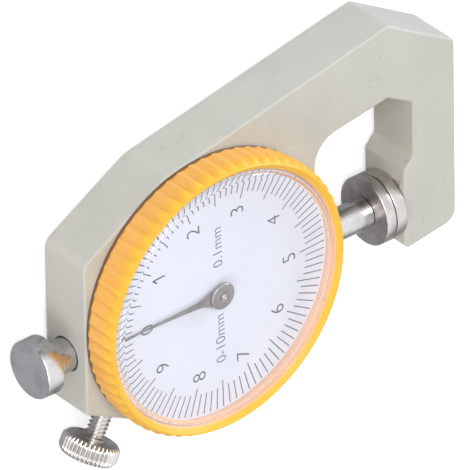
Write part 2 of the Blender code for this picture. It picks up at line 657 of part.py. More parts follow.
def add_return_spring():
    start = STEM_STEP_X + ARM_THICKNESS + 2 * SEAT_GAP
    end = SPRING_POST_X - SPRING_POST_RADIUS - 2 * SEAT_GAP
    coil_start = start + SPRING_LEAD
    coil_length = end - SPRING_LEAD - coil_start
    path = [Vector((start, SPRING_Y, SPINDLE_Z))]
    count = SPRING_TURNS * SPRING_POINTS
    for i in range(count + 1):
        turn = 2 * math.pi * i / SPRING_POINTS
        path.append(Vector((coil_start + coil_length * i / count,
                            SPRING_Y + SPRING_RADIUS * math.cos(turn),
                            SPINDLE_Z + SPRING_RADIUS * math.sin(turn))))
    path.append(Vector((end, SPRING_Y, SPINDLE_Z)))
    add_object("return_spring", sweep_mesh("return_spring", path, round_section(SPRING_WIRE_RADIUS)), "spring_steel")


def add_hairspring():
    inner = COLLET_RADIUS + SEAT_GAP + HAIRSPRING_THICKNESS / 2
    count = HAIRSPRING_TURNS * HAIRSPRING_POINTS
    middle = COLLET_Z + COLLET_HEIGHT / 2
    path = []
    for i in range(count + 1):
        turn = 2 * math.pi * i / HAIRSPRING_POINTS
        radius = inner + (HAIRSPRING_RADIUS - inner) * i / count
        path.append(Vector((radius * math.cos(turn), radius * math.sin(turn), middle)))
    half = HAIRSPRING_THICKNESS / 2
    rise = HAIRSPRING_WIDTH / 2
    section = [(-half, -rise), (half, -rise), (half, rise), (-half, rise)]
    add_object("hairspring", sweep_mesh("hairspring", path, section), "spring_steel")
    near = HAIRSPRING_RADIUS + half + SEAT_GAP
    low = (near, -STUD_WIDTH / 2, BRIDGE_TOP_Z + SEAT_GAP)
    high = (near + STUD_WIDTH, STUD_WIDTH / 2, COLLET_TOP_Z)
    add_object("hairspring_stud", box_mesh("hairspring_stud", low, high), "brass")


def add_snap_ring():
    radius = RIM_RADIUS
    path = [Vector((x, y, SNAP_Z)) for x, y in
            arc_points((0, 0), radius, SNAP_OPENING / 2, 2 * math.pi - SNAP_OPENING / 2, ROUND_STEPS)]
    add_object("snap_ring", sweep_mesh("snap_ring", path, round_section(SNAP_WIRE_RADIUS)), "spring_steel")


# Spindle body, in coordinates along the spindle axis

def add_spindle(parent):
    rear_end = BUTTON_FRONT_X + SEAT_GAP
    front_end = CONTACT_BACK_X - SEAT_GAP
    stations = [
        (SPIGOT_RADIUS, rear_end - SPIGOT_LENGTH),
        (SPIGOT_RADIUS, rear_end),
        (STEM_RADIUS, rear_end),
        (STEM_RADIUS, STEM_STEP_X),
        (SPINDLE_RADIUS, STEM_STEP_X),
        (SPINDLE_RADIUS, front_end),
        (SPIGOT_RADIUS, front_end),
        (SPIGOT_RADIUS, front_end + SPIGOT_LENGTH),
    ]
    spindle = add_object("spindle", rod_mesh("spindle", stations), "bright_steel", parent, rotation=ALONG_X)
    seat = RACK_SEAT - SEAT_GAP
    low = (RACK_REAR_X - SEAT_GAP, seat, -SPINDLE_RADIUS - OVERRUN)
    high = (RACK_FRONT_X + SEAT_GAP, SPINDLE_RADIUS + OVERRUN, SPINDLE_RADIUS + OVERRUN)
    combine(spindle, add_cutter("rack_seat", box_mesh("rack_seat", low, high), parent))
    for number, x in enumerate(rack_screw_places(), 1):
        hole = RACK_SCREW_RADIUS + RUNNING_GAP
        depth = rack_screw_depth()
        mesh = rod_mesh(f"rack_tap_{number}", [(hole, -depth - SEAT_GAP), (hole, OVERRUN)], SMALL_STEPS)
        combine(spindle, add_cutter(f"rack_tap_{number}", mesh, parent, (x, seat, 0), (-math.pi / 2, 0, 0)))
    pin_hole = rod_mesh("guide_pin_hole", [
        (GUIDE_PIN_RADIUS + RUNNING_GAP, -SPINDLE_RADIUS - OVERRUN),
        (GUIDE_PIN_RADIUS + RUNNING_GAP, GUIDE_PIN_SOCKET - SPINDLE_RADIUS),
    ], SMALL_STEPS)
    combine(spindle, add_cutter("guide_pin_hole", pin_hole, parent, (GUIDE_PIN_X, 0, 0)))


def add_guide_pin(parent):
    slot_floor = CAVITY_FLOOR - GUIDE_SLOT_DEPTH + SEAT_GAP - SPINDLE_Z
    stations = [(GUIDE_PIN_RADIUS, slot_floor), (GUIDE_PIN_RADIUS, GUIDE_PIN_SOCKET - SEAT_GAP - SPINDLE_RADIUS)]
    add_object("guide_pin", rod_mesh("guide_pin", stations, SMALL_STEPS), "bright_steel", parent, (GUIDE_PIN_X, 0, 0))


def rack_screw_places():
    return RACK_REAR_X + RACK_PAD_LENGTH / 2, RACK_FRONT_X - RACK_PAD_LENGTH / 2


def rack_screw_depth():
    # How far the thread enters the spindle below the rack seat
    root = SPINDLE_DROP - PITCH_RADIUS - DEDENDUM
    return RACK_SCREW_LENGTH + RACK_SCREW_SINK - (root - RACK_SEAT)


def add_rack(parent):
    pitch_line = SPINDLE_DROP - PITCH_RADIUS
    tip = pitch_line + ADDENDUM
    root = pitch_line - DEDENDUM
    half = TOOTH_PITCH / 4 - BACKLASH / 2
    slope = math.tan(PRESSURE_ANGLE)
    outline = [(RACK_REAR_X, RACK_SEAT), (RACK_REAR_X, root)]
    first = -(RACK_SPARE_TEETH // 2) + 1
    last = PINION_TEETH + RACK_SPARE_TEETH // 2 - 1
    for index in range(first, last + 1):
        x = index * TOOTH_PITCH
        outline += [
            (x - half - DEDENDUM * slope, root),
            (x - half + ADDENDUM * slope, tip),
            (x + half - ADDENDUM * slope, tip),
            (x + half + DEDENDUM * slope, root),
        ]
    outline += [(RACK_FRONT_X, root), (RACK_FRONT_X, RACK_SEAT)]
    mesh = extruded_mesh("rack", outline, -RACK_WIDTH / 2, RACK_WIDTH / 2)
    rack = add_object("rack", mesh, "bright_steel", parent)
    for number, x in enumerate(rack_screw_places(), 1):
        bore = [
            (RACK_SCREW_RADIUS + RUNNING_GAP, -RACK_WIDTH),
            (RACK_SCREW_RADIUS + RUNNING_GAP, -RACK_SCREW_SINK - SEAT_GAP),
            (RACK_SCREW_HEAD + RUNNING_GAP, -RACK_SCREW_SINK - SEAT_GAP),
            (RACK_SCREW_HEAD + RUNNING_GAP, OVERRUN),
        ]
        mesh = rod_mesh(f"rack_bore_{number}", bore, SMALL_STEPS)
        combine(rack, add_cutter(f"rack_bore_{number}", mesh, parent, (x, root, 0), (-math.pi / 2, 0, 0)))
        name = f"rack_screw_{number}"
        screw = screw_mesh(name, RACK_SCREW_LENGTH, RACK_SCREW_HEAD, RACK_SCREW_SINK - SEAT_GAP, RACK_SCREW_RADIUS)
        add_object(name, screw, "nickel", parent, (x, root - RACK_SCREW_SINK, 0), (-math.pi / 2, 0, 0))


def add_spring_arm(parent):
    # A saddle over the spindle, clear of the clamp pad, with a finger that pulls the spring
    outer = SPINDLE_RADIUS + ARM_SADDLE_WALL
    inner = SPINDLE_RADIUS + RUNNING_GAP
    half = ARM_FINGER_WIDTH / 2
    spread = math.asin(half / outer)
    reach = SPINDLE_DROP + SPRING_Y
    right = -ARM_SADDLE_WRAP
    left = math.pi + ARM_SADDLE_WRAP
    steps = ROUND_STEPS // 3
    outline = arc_points((0, 0), outer, right, math.pi / 2 - spread, steps)
    outline += arc_points((0, reach), half, 0, math.pi, 2 * CORNER_STEPS)
    outline += arc_points((0, 0), outer, math.pi / 2 + spread, left, steps)
    outline += arc_points((0, 0), inner, left, right, ROUND_STEPS // 2)
    low = STEM_STEP_X + SEAT_GAP
    mesh = extruded_mesh("spring_arm", outline, low, low + ARM_THICKNESS - SEAT_GAP)
    # Local X lies along world -Z and local Y along world Y
    add_object("spring_arm", mesh, "brass", parent, rotation=ALONG_X)


def add_moving_contact(parent):
    socket = SPIGOT_RADIUS + RUNNING_GAP
    depth = CONTACT_BACK_X + SPIGOT_LENGTH
    profile = [
        (0, depth),
        (socket, depth),
        (socket, CONTACT_BACK_X),
        *disc_stations(CONTACT_RADIUS, CONTACT_BACK_X, CONTACT_FACE_X, CONTACT_CHAMFER),
        (0, CONTACT_FACE_X),
    ]
    add_object("moving_contact", turned_mesh("moving_contact", profile), "bright_steel", parent, rotation=ALONG_X)


def add_end_button(parent):
    socket = SPIGOT_RADIUS + RUNNING_GAP
    depth = BUTTON_FRONT_X - SPIGOT_LENGTH
    stations = disc_stations(BUTTON_RADIUS, BUTTON_FACE_X, BUTTON_FRONT_X, BUTTON_CHAMFER)
    profile = [(0, BUTTON_FACE_X), *stations, (socket, BUTTON_FRONT_X), (socket, depth), (0, depth)]
    add_object("end_button", turned_mesh("end_button", profile), "bright_steel", parent, rotation=ALONG_X)


# Pointer body, about the dial axis

def involute(angle):
    return math.tan(angle) - angle


def pinion_outline():
    base = PITCH_RADIUS * math.cos(PRESSURE_ANGLE)
    tip = PITCH_RADIUS + ADDENDUM
    root = PITCH_RADIUS - DEDENDUM
    half = math.pi / (2 * PINION_TEETH) - BACKLASH / (2 * PITCH_RADIUS)
    steps = 3
    flank = []
    for i in range(steps + 1):
        radius = max(base, root) + (tip - max(base, root)) * i / steps
        pressure = math.acos(min(1.0, base / radius))
        flank.append((radius, half + involute(PRESSURE_ANGLE) - involute(pressure)))
    points = []
    pitch = 2 * math.pi / PINION_TEETH
    for tooth in range(PINION_TEETH):
        # A tooth space faces the rack, towards -Y
        middle = -math.pi / 2 + pitch * (tooth + 0.5)
        for radius, spread in [(root, flank[0][1]), *flank]:
            points.append((radius, middle - spread))
        for radius, spread in [*reversed(flank), (root, flank[0][1])]:
            points.append((radius, middle + spread))
    return [(radius * math.cos(angle), radius * math.sin(angle)) for radius, angle in points]


def add_pinion(parent):
    half = PINION_WIDTH / 2
    mesh = extruded_mesh("pinion", pinion_outline(), SPINDLE_Z - half, SPINDLE_Z + half)
    pinion = add_object("pinion", mesh, "brass", parent)
    bore = rod_mesh("pinion_bore", [(ARBOR_RADIUS + RUNNING_GAP, 0), (ARBOR_RADIUS + RUNNING_GAP, BODY_THICKNESS)],
                    SMALL_STEPS)
    combine(pinion, add_cutter("pinion_bore", bore, parent))


def add_arbor(parent):
    shoulder = PLATE_TOP_Z + SEAT_GAP
    stations = [
        (PIVOT_RADIUS, PLATE_Z),
        (PIVOT_RADIUS, shoulder),
        (ARBOR_RADIUS, shoulder),
        (ARBOR_RADIUS, COLLET_TOP_Z),
        (NOSE_RADIUS, COLLET_TOP_Z),
        (NOSE_RADIUS, POINTER_TOP_Z + HUB_HEIGHT / 2),
    ]
    add_object("arbor", rod_mesh("arbor", stations, SMALL_STEPS), "bright_steel", parent)


def add_collet(parent):
    mesh = tube_mesh("hairspring_collet", ARBOR_RADIUS + RUNNING_GAP, COLLET_RADIUS, COLLET_Z, COLLET_TOP_Z,
                     SMALL_STEPS)
    add_object("hairspring_collet", mesh, "brass", parent)


def add_pointer(parent):
    # The pointer lies along -X, at the zero of the dial
    half = POINTER_TAIL_WIDTH / 2
    spread = math.asin(half / POINTER_EYE_RADIUS)
    eye = arc_points((0, 0), POINTER_EYE_RADIUS, -math.pi + spread, math.pi - spread, SMALL_STEPS)
    tip = POINTER_TIP_WIDTH / 2
    outline = eye + [(-POINTER_LENGTH + tip, tip), (-POINTER_LENGTH, 0), (-POINTER_LENGTH + tip, -tip)]
    mesh = extruded_mesh("pointer", outline, POINTER_Z, POINTER_TOP_Z)
    pointer = add_object("pointer", mesh, "dark_steel", parent)
    bore = rod_mesh("pointer_bore", [(NOSE_RADIUS + RUNNING_GAP, DIAL_Z), (NOSE_RADIUS + RUNNING_GAP, RIM_TOP_Z * 2)],
                    SMALL_STEPS)
    combine(pointer, add_cutter("pointer_bore", bore, parent))


def add_pointer_hub(parent):
    low = HUB_Z
    top = low + HUB_HEIGHT
    socket = NOSE_RADIUS + RUNNING_GAP
    depth = POINTER_TOP_Z + HUB_HEIGHT / 2 + SEAT_GAP
    profile = [
        (0, depth),
        (socket, depth),
        (socket, low),
        (HUB_RADIUS, low),
        (HUB_RADIUS, top - HUB_CROWN),
        (HUB_RADIUS - HUB_CROWN, top),
        (0, top + HUB_CROWN / 2),
    ]
    add_object("pointer_hub", turned_mesh("pointer_hub", profile), "dark_steel", parent)


# Bezel body, about the dial axis

def bezel_profile():
    # (radius, height, ridged) points from the base up the outside, over the rim and down the bore
    base = BODY_THICKNESS + BEZEL_GAP
    top = BEZEL_TOP_Z
    bore = RIM_RADIUS + RUNNING_GAP + SEAT_GAP
    ledge = DIAL_Z - SEAT_GAP
    groove = SNAP_WIRE_RADIUS + SEAT_GAP
    shoulder = top - RIM_ROUND
    inner = BEZEL_INNER_RADIUS
    outer = [(BEZEL_RADIUS - BASE_CHAMFER, base, False), (BEZEL_RADIUS, base + BASE_CHAMFER, True),
             (BEZEL_RADIUS, shoulder - RIDGE_DEPTH, True)]
    smooth = BEZEL_RADIUS - RIDGE_DEPTH
    rounding = [(smooth - RIM_ROUND / 2 * (1 - math.cos(turn)), shoulder + RIM_ROUND * math.sin(turn), False)
                for turn in (0, math.pi / 6, math.pi / 3, math.pi / 2)]
    inside = [
        (inner, top - INNER_SLOPE, False),
        (inner, ledge, False),
        (bore, ledge, False),
        (bore, SNAP_Z + groove, False),
        (bore + groove, SNAP_Z + groove, False),
        (bore + groove, SNAP_Z - groove, False),
        (bore, SNAP_Z - groove, False),
        (bore, base, False),
    ]
    return outer + rounding + inside


def ridge_height(step):
    # A rounded ridge over each group of points
    return RIDGE_DEPTH * (0.5 + 0.5 * math.cos(2 * math.pi * step / RIDGE_STEPS))


def add_bezel(parent):
    bm = bmesh.new()
    columns = []
    steps = RIDGE_COUNT * RIDGE_STEPS
    for step in range(steps):
        angle = 2 * math.pi * step / steps
        fall = RIDGE_DEPTH - ridge_height(step)
        column = []
        for radius, height, ridged in bezel_profile():
            reach = radius - fall if ridged else radius
            column.append(bm.verts.new((reach * math.cos(angle), reach * math.sin(angle), height)))
        columns.append(column)
    for index, column in enumerate(columns):
        following = columns[(index + 1) % steps]
        for i in range(len(column)):
            j = (i + 1) % len(column)
            bm.faces.new((column[i], following[i], following[j], column[j]))
    add_object("bezel", finish_mesh("bezel", bm), "yellow_plastic", parent)


def add_dial_plate(parent):
    mesh = tube_mesh("dial_plate", DIAL_HOLE_RADIUS, DIAL_RADIUS, DIAL_Z, DIAL_TOP_Z, LARGE_STEPS)
    add_object("dial_plate", mesh, "dial_white", parent)


def add_crystal(parent):
    # A shallow cup whose skirt holds the dial down on the bezel's ledge
    foot = DIAL_TOP_Z + SEAT_GAP
    top = CRYSTAL_TOP_Z
    under = CRYSTAL_UNDER_Z
    outer = BEZEL_INNER_RADIUS - SEAT_GAP
    inner = outer - CRYSTAL_SKIRT
    profile = [
        (0, under + CRYSTAL_CROWN),
        (inner - CRYSTAL_ROUND, under),
        (inner, under - CRYSTAL_ROUND),
        (inner, foot),
        (outer, foot),
        (outer, top - CRYSTAL_ROUND),
        (outer - CRYSTAL_ROUND, top),
        (0, top + CRYSTAL_CROWN),
    ]
    add_object("crystal", turned_mesh("crystal", profile, LARGE_STEPS), "clear_plastic", parent)


# Lock screw and its pad; local Z runs outwards along the screw

def add_clamp_pad(parent):
    radius = LOCK_THREAD_RADIUS - RUNNING_GAP
    stations = [(radius, 0), (radius, STEM_RADIUS + LOCK_PAD_LENGTH)]
    pad = add_object("clamp_pad", rod_mesh("clamp_pad", stations, SMALL_STEPS), "brass", parent)
    # Its inner end is flat along the spindle
    face = -SPINDLE_DROP - STEM_RADIUS - SEAT_GAP
    reach = LOCK_PAD_LENGTH
    mesh = box_mesh("pad_facing", (LOCK_X - reach, face, 0), (LOCK_X + reach, reach, BODY_THICKNESS))
    combine(pad, add_cutter("pad_facing", mesh))


def add_lock_screw(parent):
    tip = STEM_RADIUS + LOCK_PAD_LENGTH + SEAT_GAP
    under = FACET_DISTANCE + LOCK_STANDOFF
    end = under + LOCK_HEAD_LENGTH
    bm = bmesh.new()
    steps = KNURL_COUNT * 2
    radius = LOCK_THREAD_RADIUS
    stations = [
        (radius, tip, False),
        (radius, under - LOCK_COLLAR_LENGTH, False),
        (LOCK_COLLAR_RADIUS, under - LOCK_COLLAR_LENGTH, False),
        (LOCK_COLLAR_RADIUS, under, False),
        (LOCK_HEAD_RADIUS - LOCK_HEAD_CHAMFER, under, False),
        (LOCK_HEAD_RADIUS, under + LOCK_HEAD_CHAMFER, True),
        (LOCK_HEAD_RADIUS, end - LOCK_HEAD_CHAMFER, True),
        (LOCK_HEAD_RADIUS - LOCK_HEAD_CHAMFER, end, False),
    ]
    rings = []
    for reach, height, knurled in stations:
        ring = []
        for step in range(steps):
            angle = 2 * math.pi * step / steps
            size = reach - KNURL_DEPTH * (step % 2) if knurled else reach
            ring.append(bm.verts.new((size * math.cos(angle), size * math.sin(angle), height)))
        rings.append(ring)
    for ring, following in zip(rings, rings[1:]):
        for i in range(steps):
            j = (i + 1) % steps
            bm.faces.new((ring[i], ring[j], following[j], following[i]))
    bm.faces.new(rings[0])
    bm.faces.new(list(reversed(rings[-1])))
    add_object("lock_screw", finish_mesh("lock_screw", bm), "nickel", parent)


def build_gauge():
    clear_scene()
    add_frame()
    add_bushes()
    add_anvil()
    add_pivot_plate()
    add_pillars()
    add_bridge()
    add_spring_post()
    add_return_spring()
    add_hairspring()
    add_snap_ring()
    carriage = add_empty("spindle_slide_axis", SPINDLE_AXIS)
    add_spindle(carriage)
    add_guide_pin(carriage)
    add_rack(carriage)
    add_spring_arm(carriage)
    add_moving_contact(carriage)
    add_end_button(carriage)
    pointer_axis = add_empty("pointer_turn_axis", (0, 0, 0))
    add_arbor(pointer_axis)
    add_pinion(pointer_axis)
    add_collet(pointer_axis)
    add_pointer(pointer_axis)
    add_pointer_hub(pointer_axis)
    bezel_axis = add_empty("bezel_turn_axis", (0, 0, 0))
    add_bezel(bezel_axis)
    add_dial_plate(bezel_axis)
    add_crystal(bezel_axis)
    lock_axis = add_empty("lock_screw_axis", LOCK_ORIGIN, LOCK_DIRECTION)
    add_clamp_pad(lock_axis)
    add_lock_screw(lock_axis)


build_gauge()
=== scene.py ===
import math

import bmesh
import bpy
from mathutils import Matrix, Vector


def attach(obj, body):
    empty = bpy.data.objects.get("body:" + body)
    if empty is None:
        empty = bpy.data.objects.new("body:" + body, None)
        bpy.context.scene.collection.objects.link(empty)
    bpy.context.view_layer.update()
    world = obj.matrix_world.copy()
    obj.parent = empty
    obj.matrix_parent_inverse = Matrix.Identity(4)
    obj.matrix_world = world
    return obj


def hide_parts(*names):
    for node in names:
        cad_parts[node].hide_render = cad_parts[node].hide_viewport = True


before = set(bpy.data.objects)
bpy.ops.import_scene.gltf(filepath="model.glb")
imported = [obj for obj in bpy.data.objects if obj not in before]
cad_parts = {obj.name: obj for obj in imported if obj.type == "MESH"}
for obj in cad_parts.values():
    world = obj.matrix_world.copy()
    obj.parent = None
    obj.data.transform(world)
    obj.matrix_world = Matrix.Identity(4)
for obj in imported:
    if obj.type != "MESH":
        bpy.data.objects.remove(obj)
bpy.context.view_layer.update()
scene = bpy.context.scene
scene.view_settings.view_transform = "Standard"
mm = 0.001
mergeDistance = mm / 20000


# Camera, as the photograph was taken: from afar, on the rear corner of the dial side
cameraSetup = {
    "distance": 2.9,
    "lens": 1656.8,
    "sensor": 36,
    "clipStart": 0.1,
    "clipEnd": 20,
    "right": (0.7670, -0.0133, 0.6415),
    "back": (-0.5287, 0.5536, 0.6435),
    "anchor": (0, 0, 11.7 * mm),  # this point of the dial lies at shiftRight, shiftUp from the picture's middle
    "shiftRight": -2.1665 * mm,
    "shiftUp": -7.848 * mm,
}


def addCamera():
    back = Vector(cameraSetup["back"]).normalized()
    right = Vector(cameraSetup["right"])
    right = (right - back * right.dot(back)).normalized()
    up = back.cross(right)
    target = Vector(cameraSetup["anchor"]) - right * cameraSetup["shiftRight"] - up * cameraSetup["shiftUp"]
    data = bpy.data.cameras.new("viewCamera")
    data.lens = cameraSetup["lens"]
    data.sensor_width = cameraSetup["sensor"]
    data.clip_start = cameraSetup["clipStart"]
    data.clip_end = cameraSetup["clipEnd"]
    camera = bpy.data.objects.new("viewCamera", data)
    turn = Matrix((right, up, back)).transposed().to_4x4()
    camera.matrix_world = Matrix.Translation(target + back * cameraSetup["distance"]) @ turn
    scene.collection.objects.link(camera)
    scene.camera = camera


addCamera()
print("camera placed")


# Node helpers

def feed(tree, socket, value):
    if isinstance(value, bpy.types.NodeSocket):
        tree.links.new(value, socket)
    else:
        socket.default_value = value


def addNode(tree, kind, inputs=None, settings=None):
    node = tree.nodes.new(kind)
    for name, value in (settings or {}).items():
        setattr(node, name, value)
    for name, value in (inputs or {}).items():
        feed(tree, node.inputs[name], value)
    return node


def mathNode(tree, operation, first, second=0.0, clamp=False):
    node = addNode(tree, "ShaderNodeMath", settings={"operation": operation, "use_clamp": clamp})
    feed(tree, node.inputs[0], first)
    feed(tree, node.inputs[1], second)
    return node.outputs[0]


def blendColours(tree, factor, first, second):
    node = addNode(tree, "ShaderNodeMix", settings={"data_type": "RGBA"})
    feed(tree, node.inputs[0], factor)
    feed(tree, node.inputs[6], first)
    feed(tree, node.inputs[7], second)
    return node.outputs[2]


def spanNode(tree, value, low, high, newLow=0.0, newHigh=1.0):
    spans = {"Value": value, "From Min": low, "From Max": high, "To Min": newLow, "To Max": newHigh}
    return addNode(tree, "ShaderNodeMapRange", spans).outputs[0]


def noiseNode(tree, vector, scale, detail):
    return addNode(tree, "ShaderNodeTexNoise", {"Vector": vector, "Scale": scale, "Detail": detail}).outputs["Fac"]


def startGroup(name, inputs, outputs):
    tree = bpy.data.node_groups.new(name, "ShaderNodeTree")
    for label, kind, value in inputs:
        socket = tree.interface.new_socket(label, in_out="INPUT", socket_type=kind)
        if value is not None:
            socket.default_value = value
    for label in outputs:
        tree.interface.new_socket(label, in_out="OUTPUT", socket_type="NodeSocketFloat")
    return tree, addNode(tree, "NodeGroupInput").outputs, addNode(tree, "NodeGroupOutput").inputs


# Edge wear: white along outer edges, broken up by noise
wearPattern = {
    "reach": 0.3 * mm,
    "patchScale": 400.0,
    "samples": 4,
    "band": (0.0, 0.12),
    "patchDetail": 3.0,
    "patchSpan": (0.42, 0.62),
}


def makeEdgeWear():
    tree, start, end = startGroup(
        "edgeWear",
        [("Vector", "NodeSocketVector", None), ("Reach", "NodeSocketFloat", wearPattern["reach"]),
         ("Patch Scale", "NodeSocketFloat", wearPattern["patchScale"])],
        ["Edge"],
    )
    rounded = addNode(tree, "ShaderNodeBevel", {"Radius": start["Reach"]}, {"samples": wearPattern["samples"]})
    flat = addNode(tree, "ShaderNodeNewGeometry")
    match = addNode(tree, "ShaderNodeVectorMath", settings={"operation": "DOT_PRODUCT"})
    tree.links.new(rounded.outputs[0], match.inputs[0])
    tree.links.new(flat.outputs["Normal"], match.inputs[1])
    turned = mathNode(tree, "SUBTRACT", 1.0, match.outputs["Value"])
    band = spanNode(tree, turned, *wearPattern["band"])
    noise = noiseNode(tree, start["Vector"], start["Patch Scale"], wearPattern["patchDetail"])
    patches = spanNode(tree, noise, *wearPattern["patchSpan"])
    tree.links.new(mathNode(tree, "MULTIPLY", band, patches, clamp=True), end["Edge"])
    return tree


# Fine grain: small pits and a broader mottle, for cast, moulded and printed faces
grainPattern = {
    "grainScale": 2600.0,
    "grainDetail": 3.0,
    "pitScale": 900.0,
    "pitShare": 0.5,
    "pitReach": (0.05, 0.25),
    "thinningScale": 310.0,  # this coarser noise leaves pits out in places
    "thinningDetail": 2.0,
    "thinningSpan": (0.55, 0.62),
    "mottleScale": 140.0,
    "mottleDetail": 4.0,
}


def makeFineGrain():
    p = grainPattern
    tree, start, end = startGroup(
        "fineGrain",
        [("Vector", "NodeSocketVector", None), ("Grain Scale", "NodeSocketFloat", p["grainScale"]),
         ("Pit Scale", "NodeSocketFloat", p["pitScale"]), ("Pit Share", "NodeSocketFloat", p["pitShare"])],
        ["Height", "Mottle", "Pits"],
    )
    vector = start["Vector"]
    grain = noiseNode(tree, vector, start["Grain Scale"], p["grainDetail"])
    cells = addNode(tree, "ShaderNodeTexVoronoi", {"Vector": vector, "Scale": start["Pit Scale"]})
    pits = spanNode(tree, cells.outputs["Distance"], *p["pitReach"], 1.0, 0.0)
    chosen = spanNode(tree, noiseNode(tree, vector, p["thinningScale"], p["thinningDetail"]), *p["thinningSpan"])
    pits = mathNode(tree, "MULTIPLY", mathNode(tree, "MULTIPLY", pits, chosen), start["Pit Share"])
    tree.links.new(mathNode(tree, "SUBTRACT", grain, pits), end["Height"])
    tree.links.new(noiseNode(tree, vector, p["mottleScale"], p["mottleDetail"]), end["Mottle"])
    tree.links.new(pits, end["Pits"])
    return tree


# Lathe marks: rings about the Z of the given vector, on faces and along turned sides
lathePattern = {
    "ringScale": 9000.0,
    "ringDetail": 2.0,
    "smearScale": 350.0,
    "smearDetail": 3.0,
}


def makeLatheMarks():
    p = lathePattern
    tree, start, end = startGroup(
        "latheMarks",
        [("Vector", "NodeSocketVector", None), ("Ring Scale", "NodeSocketFloat", p["ringScale"])],
        ["Height", "Streaks"],
    )
    parts = addNode(tree, "ShaderNodeSeparateXYZ", {"Vector": start["Vector"]})
    squares = mathNode(tree, "ADD", mathNode(tree, "POWER", parts.outputs[0], 2.0),
                       mathNode(tree, "POWER", parts.outputs[1], 2.0))
    place = addNode(tree, "ShaderNodeCombineXYZ", {"X": mathNode(tree, "SQRT", squares), "Y": parts.outputs[2]})
    tree.links.new(noiseNode(tree, place.outputs[0], start["Ring Scale"], p["ringDetail"]), end["Height"])
    tree.links.new(noiseNode(tree, start["Vector"], p["smearScale"], p["smearDetail"]), end["Streaks"])
    return tree


edgeWear = makeEdgeWear()
fineGrain = makeFineGrain()
latheMarks = makeLatheMarks()


# Materials

def startMaterial(name):
    material = bpy.data.materials.new(name)
    material.use_nodes = True
    tree = material.node_tree
    return material, tree, tree.nodes["Principled BSDF"], addNode(tree, "ShaderNodeTexCoord").outputs["Object"]


def addGroup(tree, group, inputs):
    return addNode(tree, "ShaderNodeGroup", inputs, {"node_tree": group}).outputs


def addGrain(tree, place, finish):
    return addGroup(tree, fineGrain, {"Vector": place, "Grain Scale": finish["grainScale"],
                                      "Pit Scale": finish["pitScale"], "Pit Share": finish["pitShare"]})


def setRoughness(tree, shader, pattern, span, roughness):
    tree.links.new(spanNode(tree, pattern, *span, *roughness), shader.inputs["Roughness"])


def setBump(tree, shader, height, strength, distance):
    bump = addNode(tree, "ShaderNodeBump", {"Height": height, "Strength": strength, "Distance": distance})
    tree.links.new(bump.outputs[0], shader.inputs["Normal"])


grainSpan = (0.2, 0.8)  # the heights of the fine grain between which roughness changes

castPaint = {
    "colour": (0.60, 0.592, 0.540, 1),
    "mottleSpan": (0.3, 0.7),
    "mottle": (0.97, 1.03),
    "speckleScale": 4200.0,
    "speckle": (0.965, 1.035),
    "worn": (0.66, 0.66, 0.62, 1),
    "wornShare": 0.6,
    "wornReach": 0.35 * mm,
    "wornPatches": 500.0,
    "grainScale": 2300.0,
    "pitScale": 800.0,
    "pitShare": 0.5,
    # painted shade in the pits
    "pitShadeColour": (0.40, 0.39, 0.34, 1),
    "roughness": (0.47, 0.65),
    "bump": 0.12,
    "bumpDepth": 0.08 * mm,
}


def makeCastPaint():
    p = castPaint
    material, tree, shader, place = startMaterial("castPaint")
    grain = addGrain(tree, place, p)
    wear = addGroup(tree, edgeWear, {"Vector": place, "Reach": p["wornReach"], "Patch Scale": p["wornPatches"]})
    speckle = noiseNode(tree, place, p["speckleScale"], 1.0)
    spread = mathNode(tree, "MULTIPLY", spanNode(tree, grain["Mottle"], *p["mottleSpan"], *p["mottle"]),
                      spanNode(tree, speckle, *p["mottleSpan"], *p["speckle"]))
    tone = addNode(tree, "ShaderNodeHueSaturation", {"Color": p["colour"], "Value": spread})
    # Painted shade: the pits are darkened
    pitted = blendColours(tree, grain["Pits"], tone.outputs[0], p["pitShadeColour"])
    worn = blendColours(tree, mathNode(tree, "MULTIPLY", wear["Edge"], p["wornShare"]), pitted, p["worn"])
    tree.links.new(worn, shader.inputs["Base Color"])
    setRoughness(tree, shader, grain["Height"], grainSpan, p["roughness"])
    setBump(tree, shader, grain["Height"], p["bump"], p["bumpDepth"])
    return material


bezelPlastic = {
    "colour": (1.0, 0.555, 0.05, 1),
    # painted light: a paler orange on the ridged side below the rim, for how light falls on the side
    "paintedSideLightColour": (1.0, 0.53, 0.13, 1),
    "paintedSideLightBand": (11.2 * mm, 12.9 * mm),
    "deep": (1.0, 0.47, 0.05, 1),
    "deepSpan": (0.35, 0.7),
    "deepShare": 0.3,
    # painted shade: brown along the lower edge, for the narrow gap under it
    "paintedGapShadeColour": (0.22, 0.09, 0.02, 1),
    "paintedGapShadeBand": (9.05 * mm, 8.92 * mm),
    # painted light: pale pink on the wall inside the ring
    "paintedWallLightColour": (0.95, 0.57, 0.37, 1),
    "paintedWallLightRadius": (19.22 * mm, 19.13 * mm),
    "grainScale": 3200.0,
    "pitScale": 1500.0,
    "pitShare": 0.2,
    "roughness": (0.36, 0.50),
    "bump": 0.06,
    "bumpDepth": 0.05 * mm,
    "glow": 0.15,  # subsurface
    "glowColour": (1.0, 0.5, 0.2),
    "glowReach": 0.6 * mm,
}


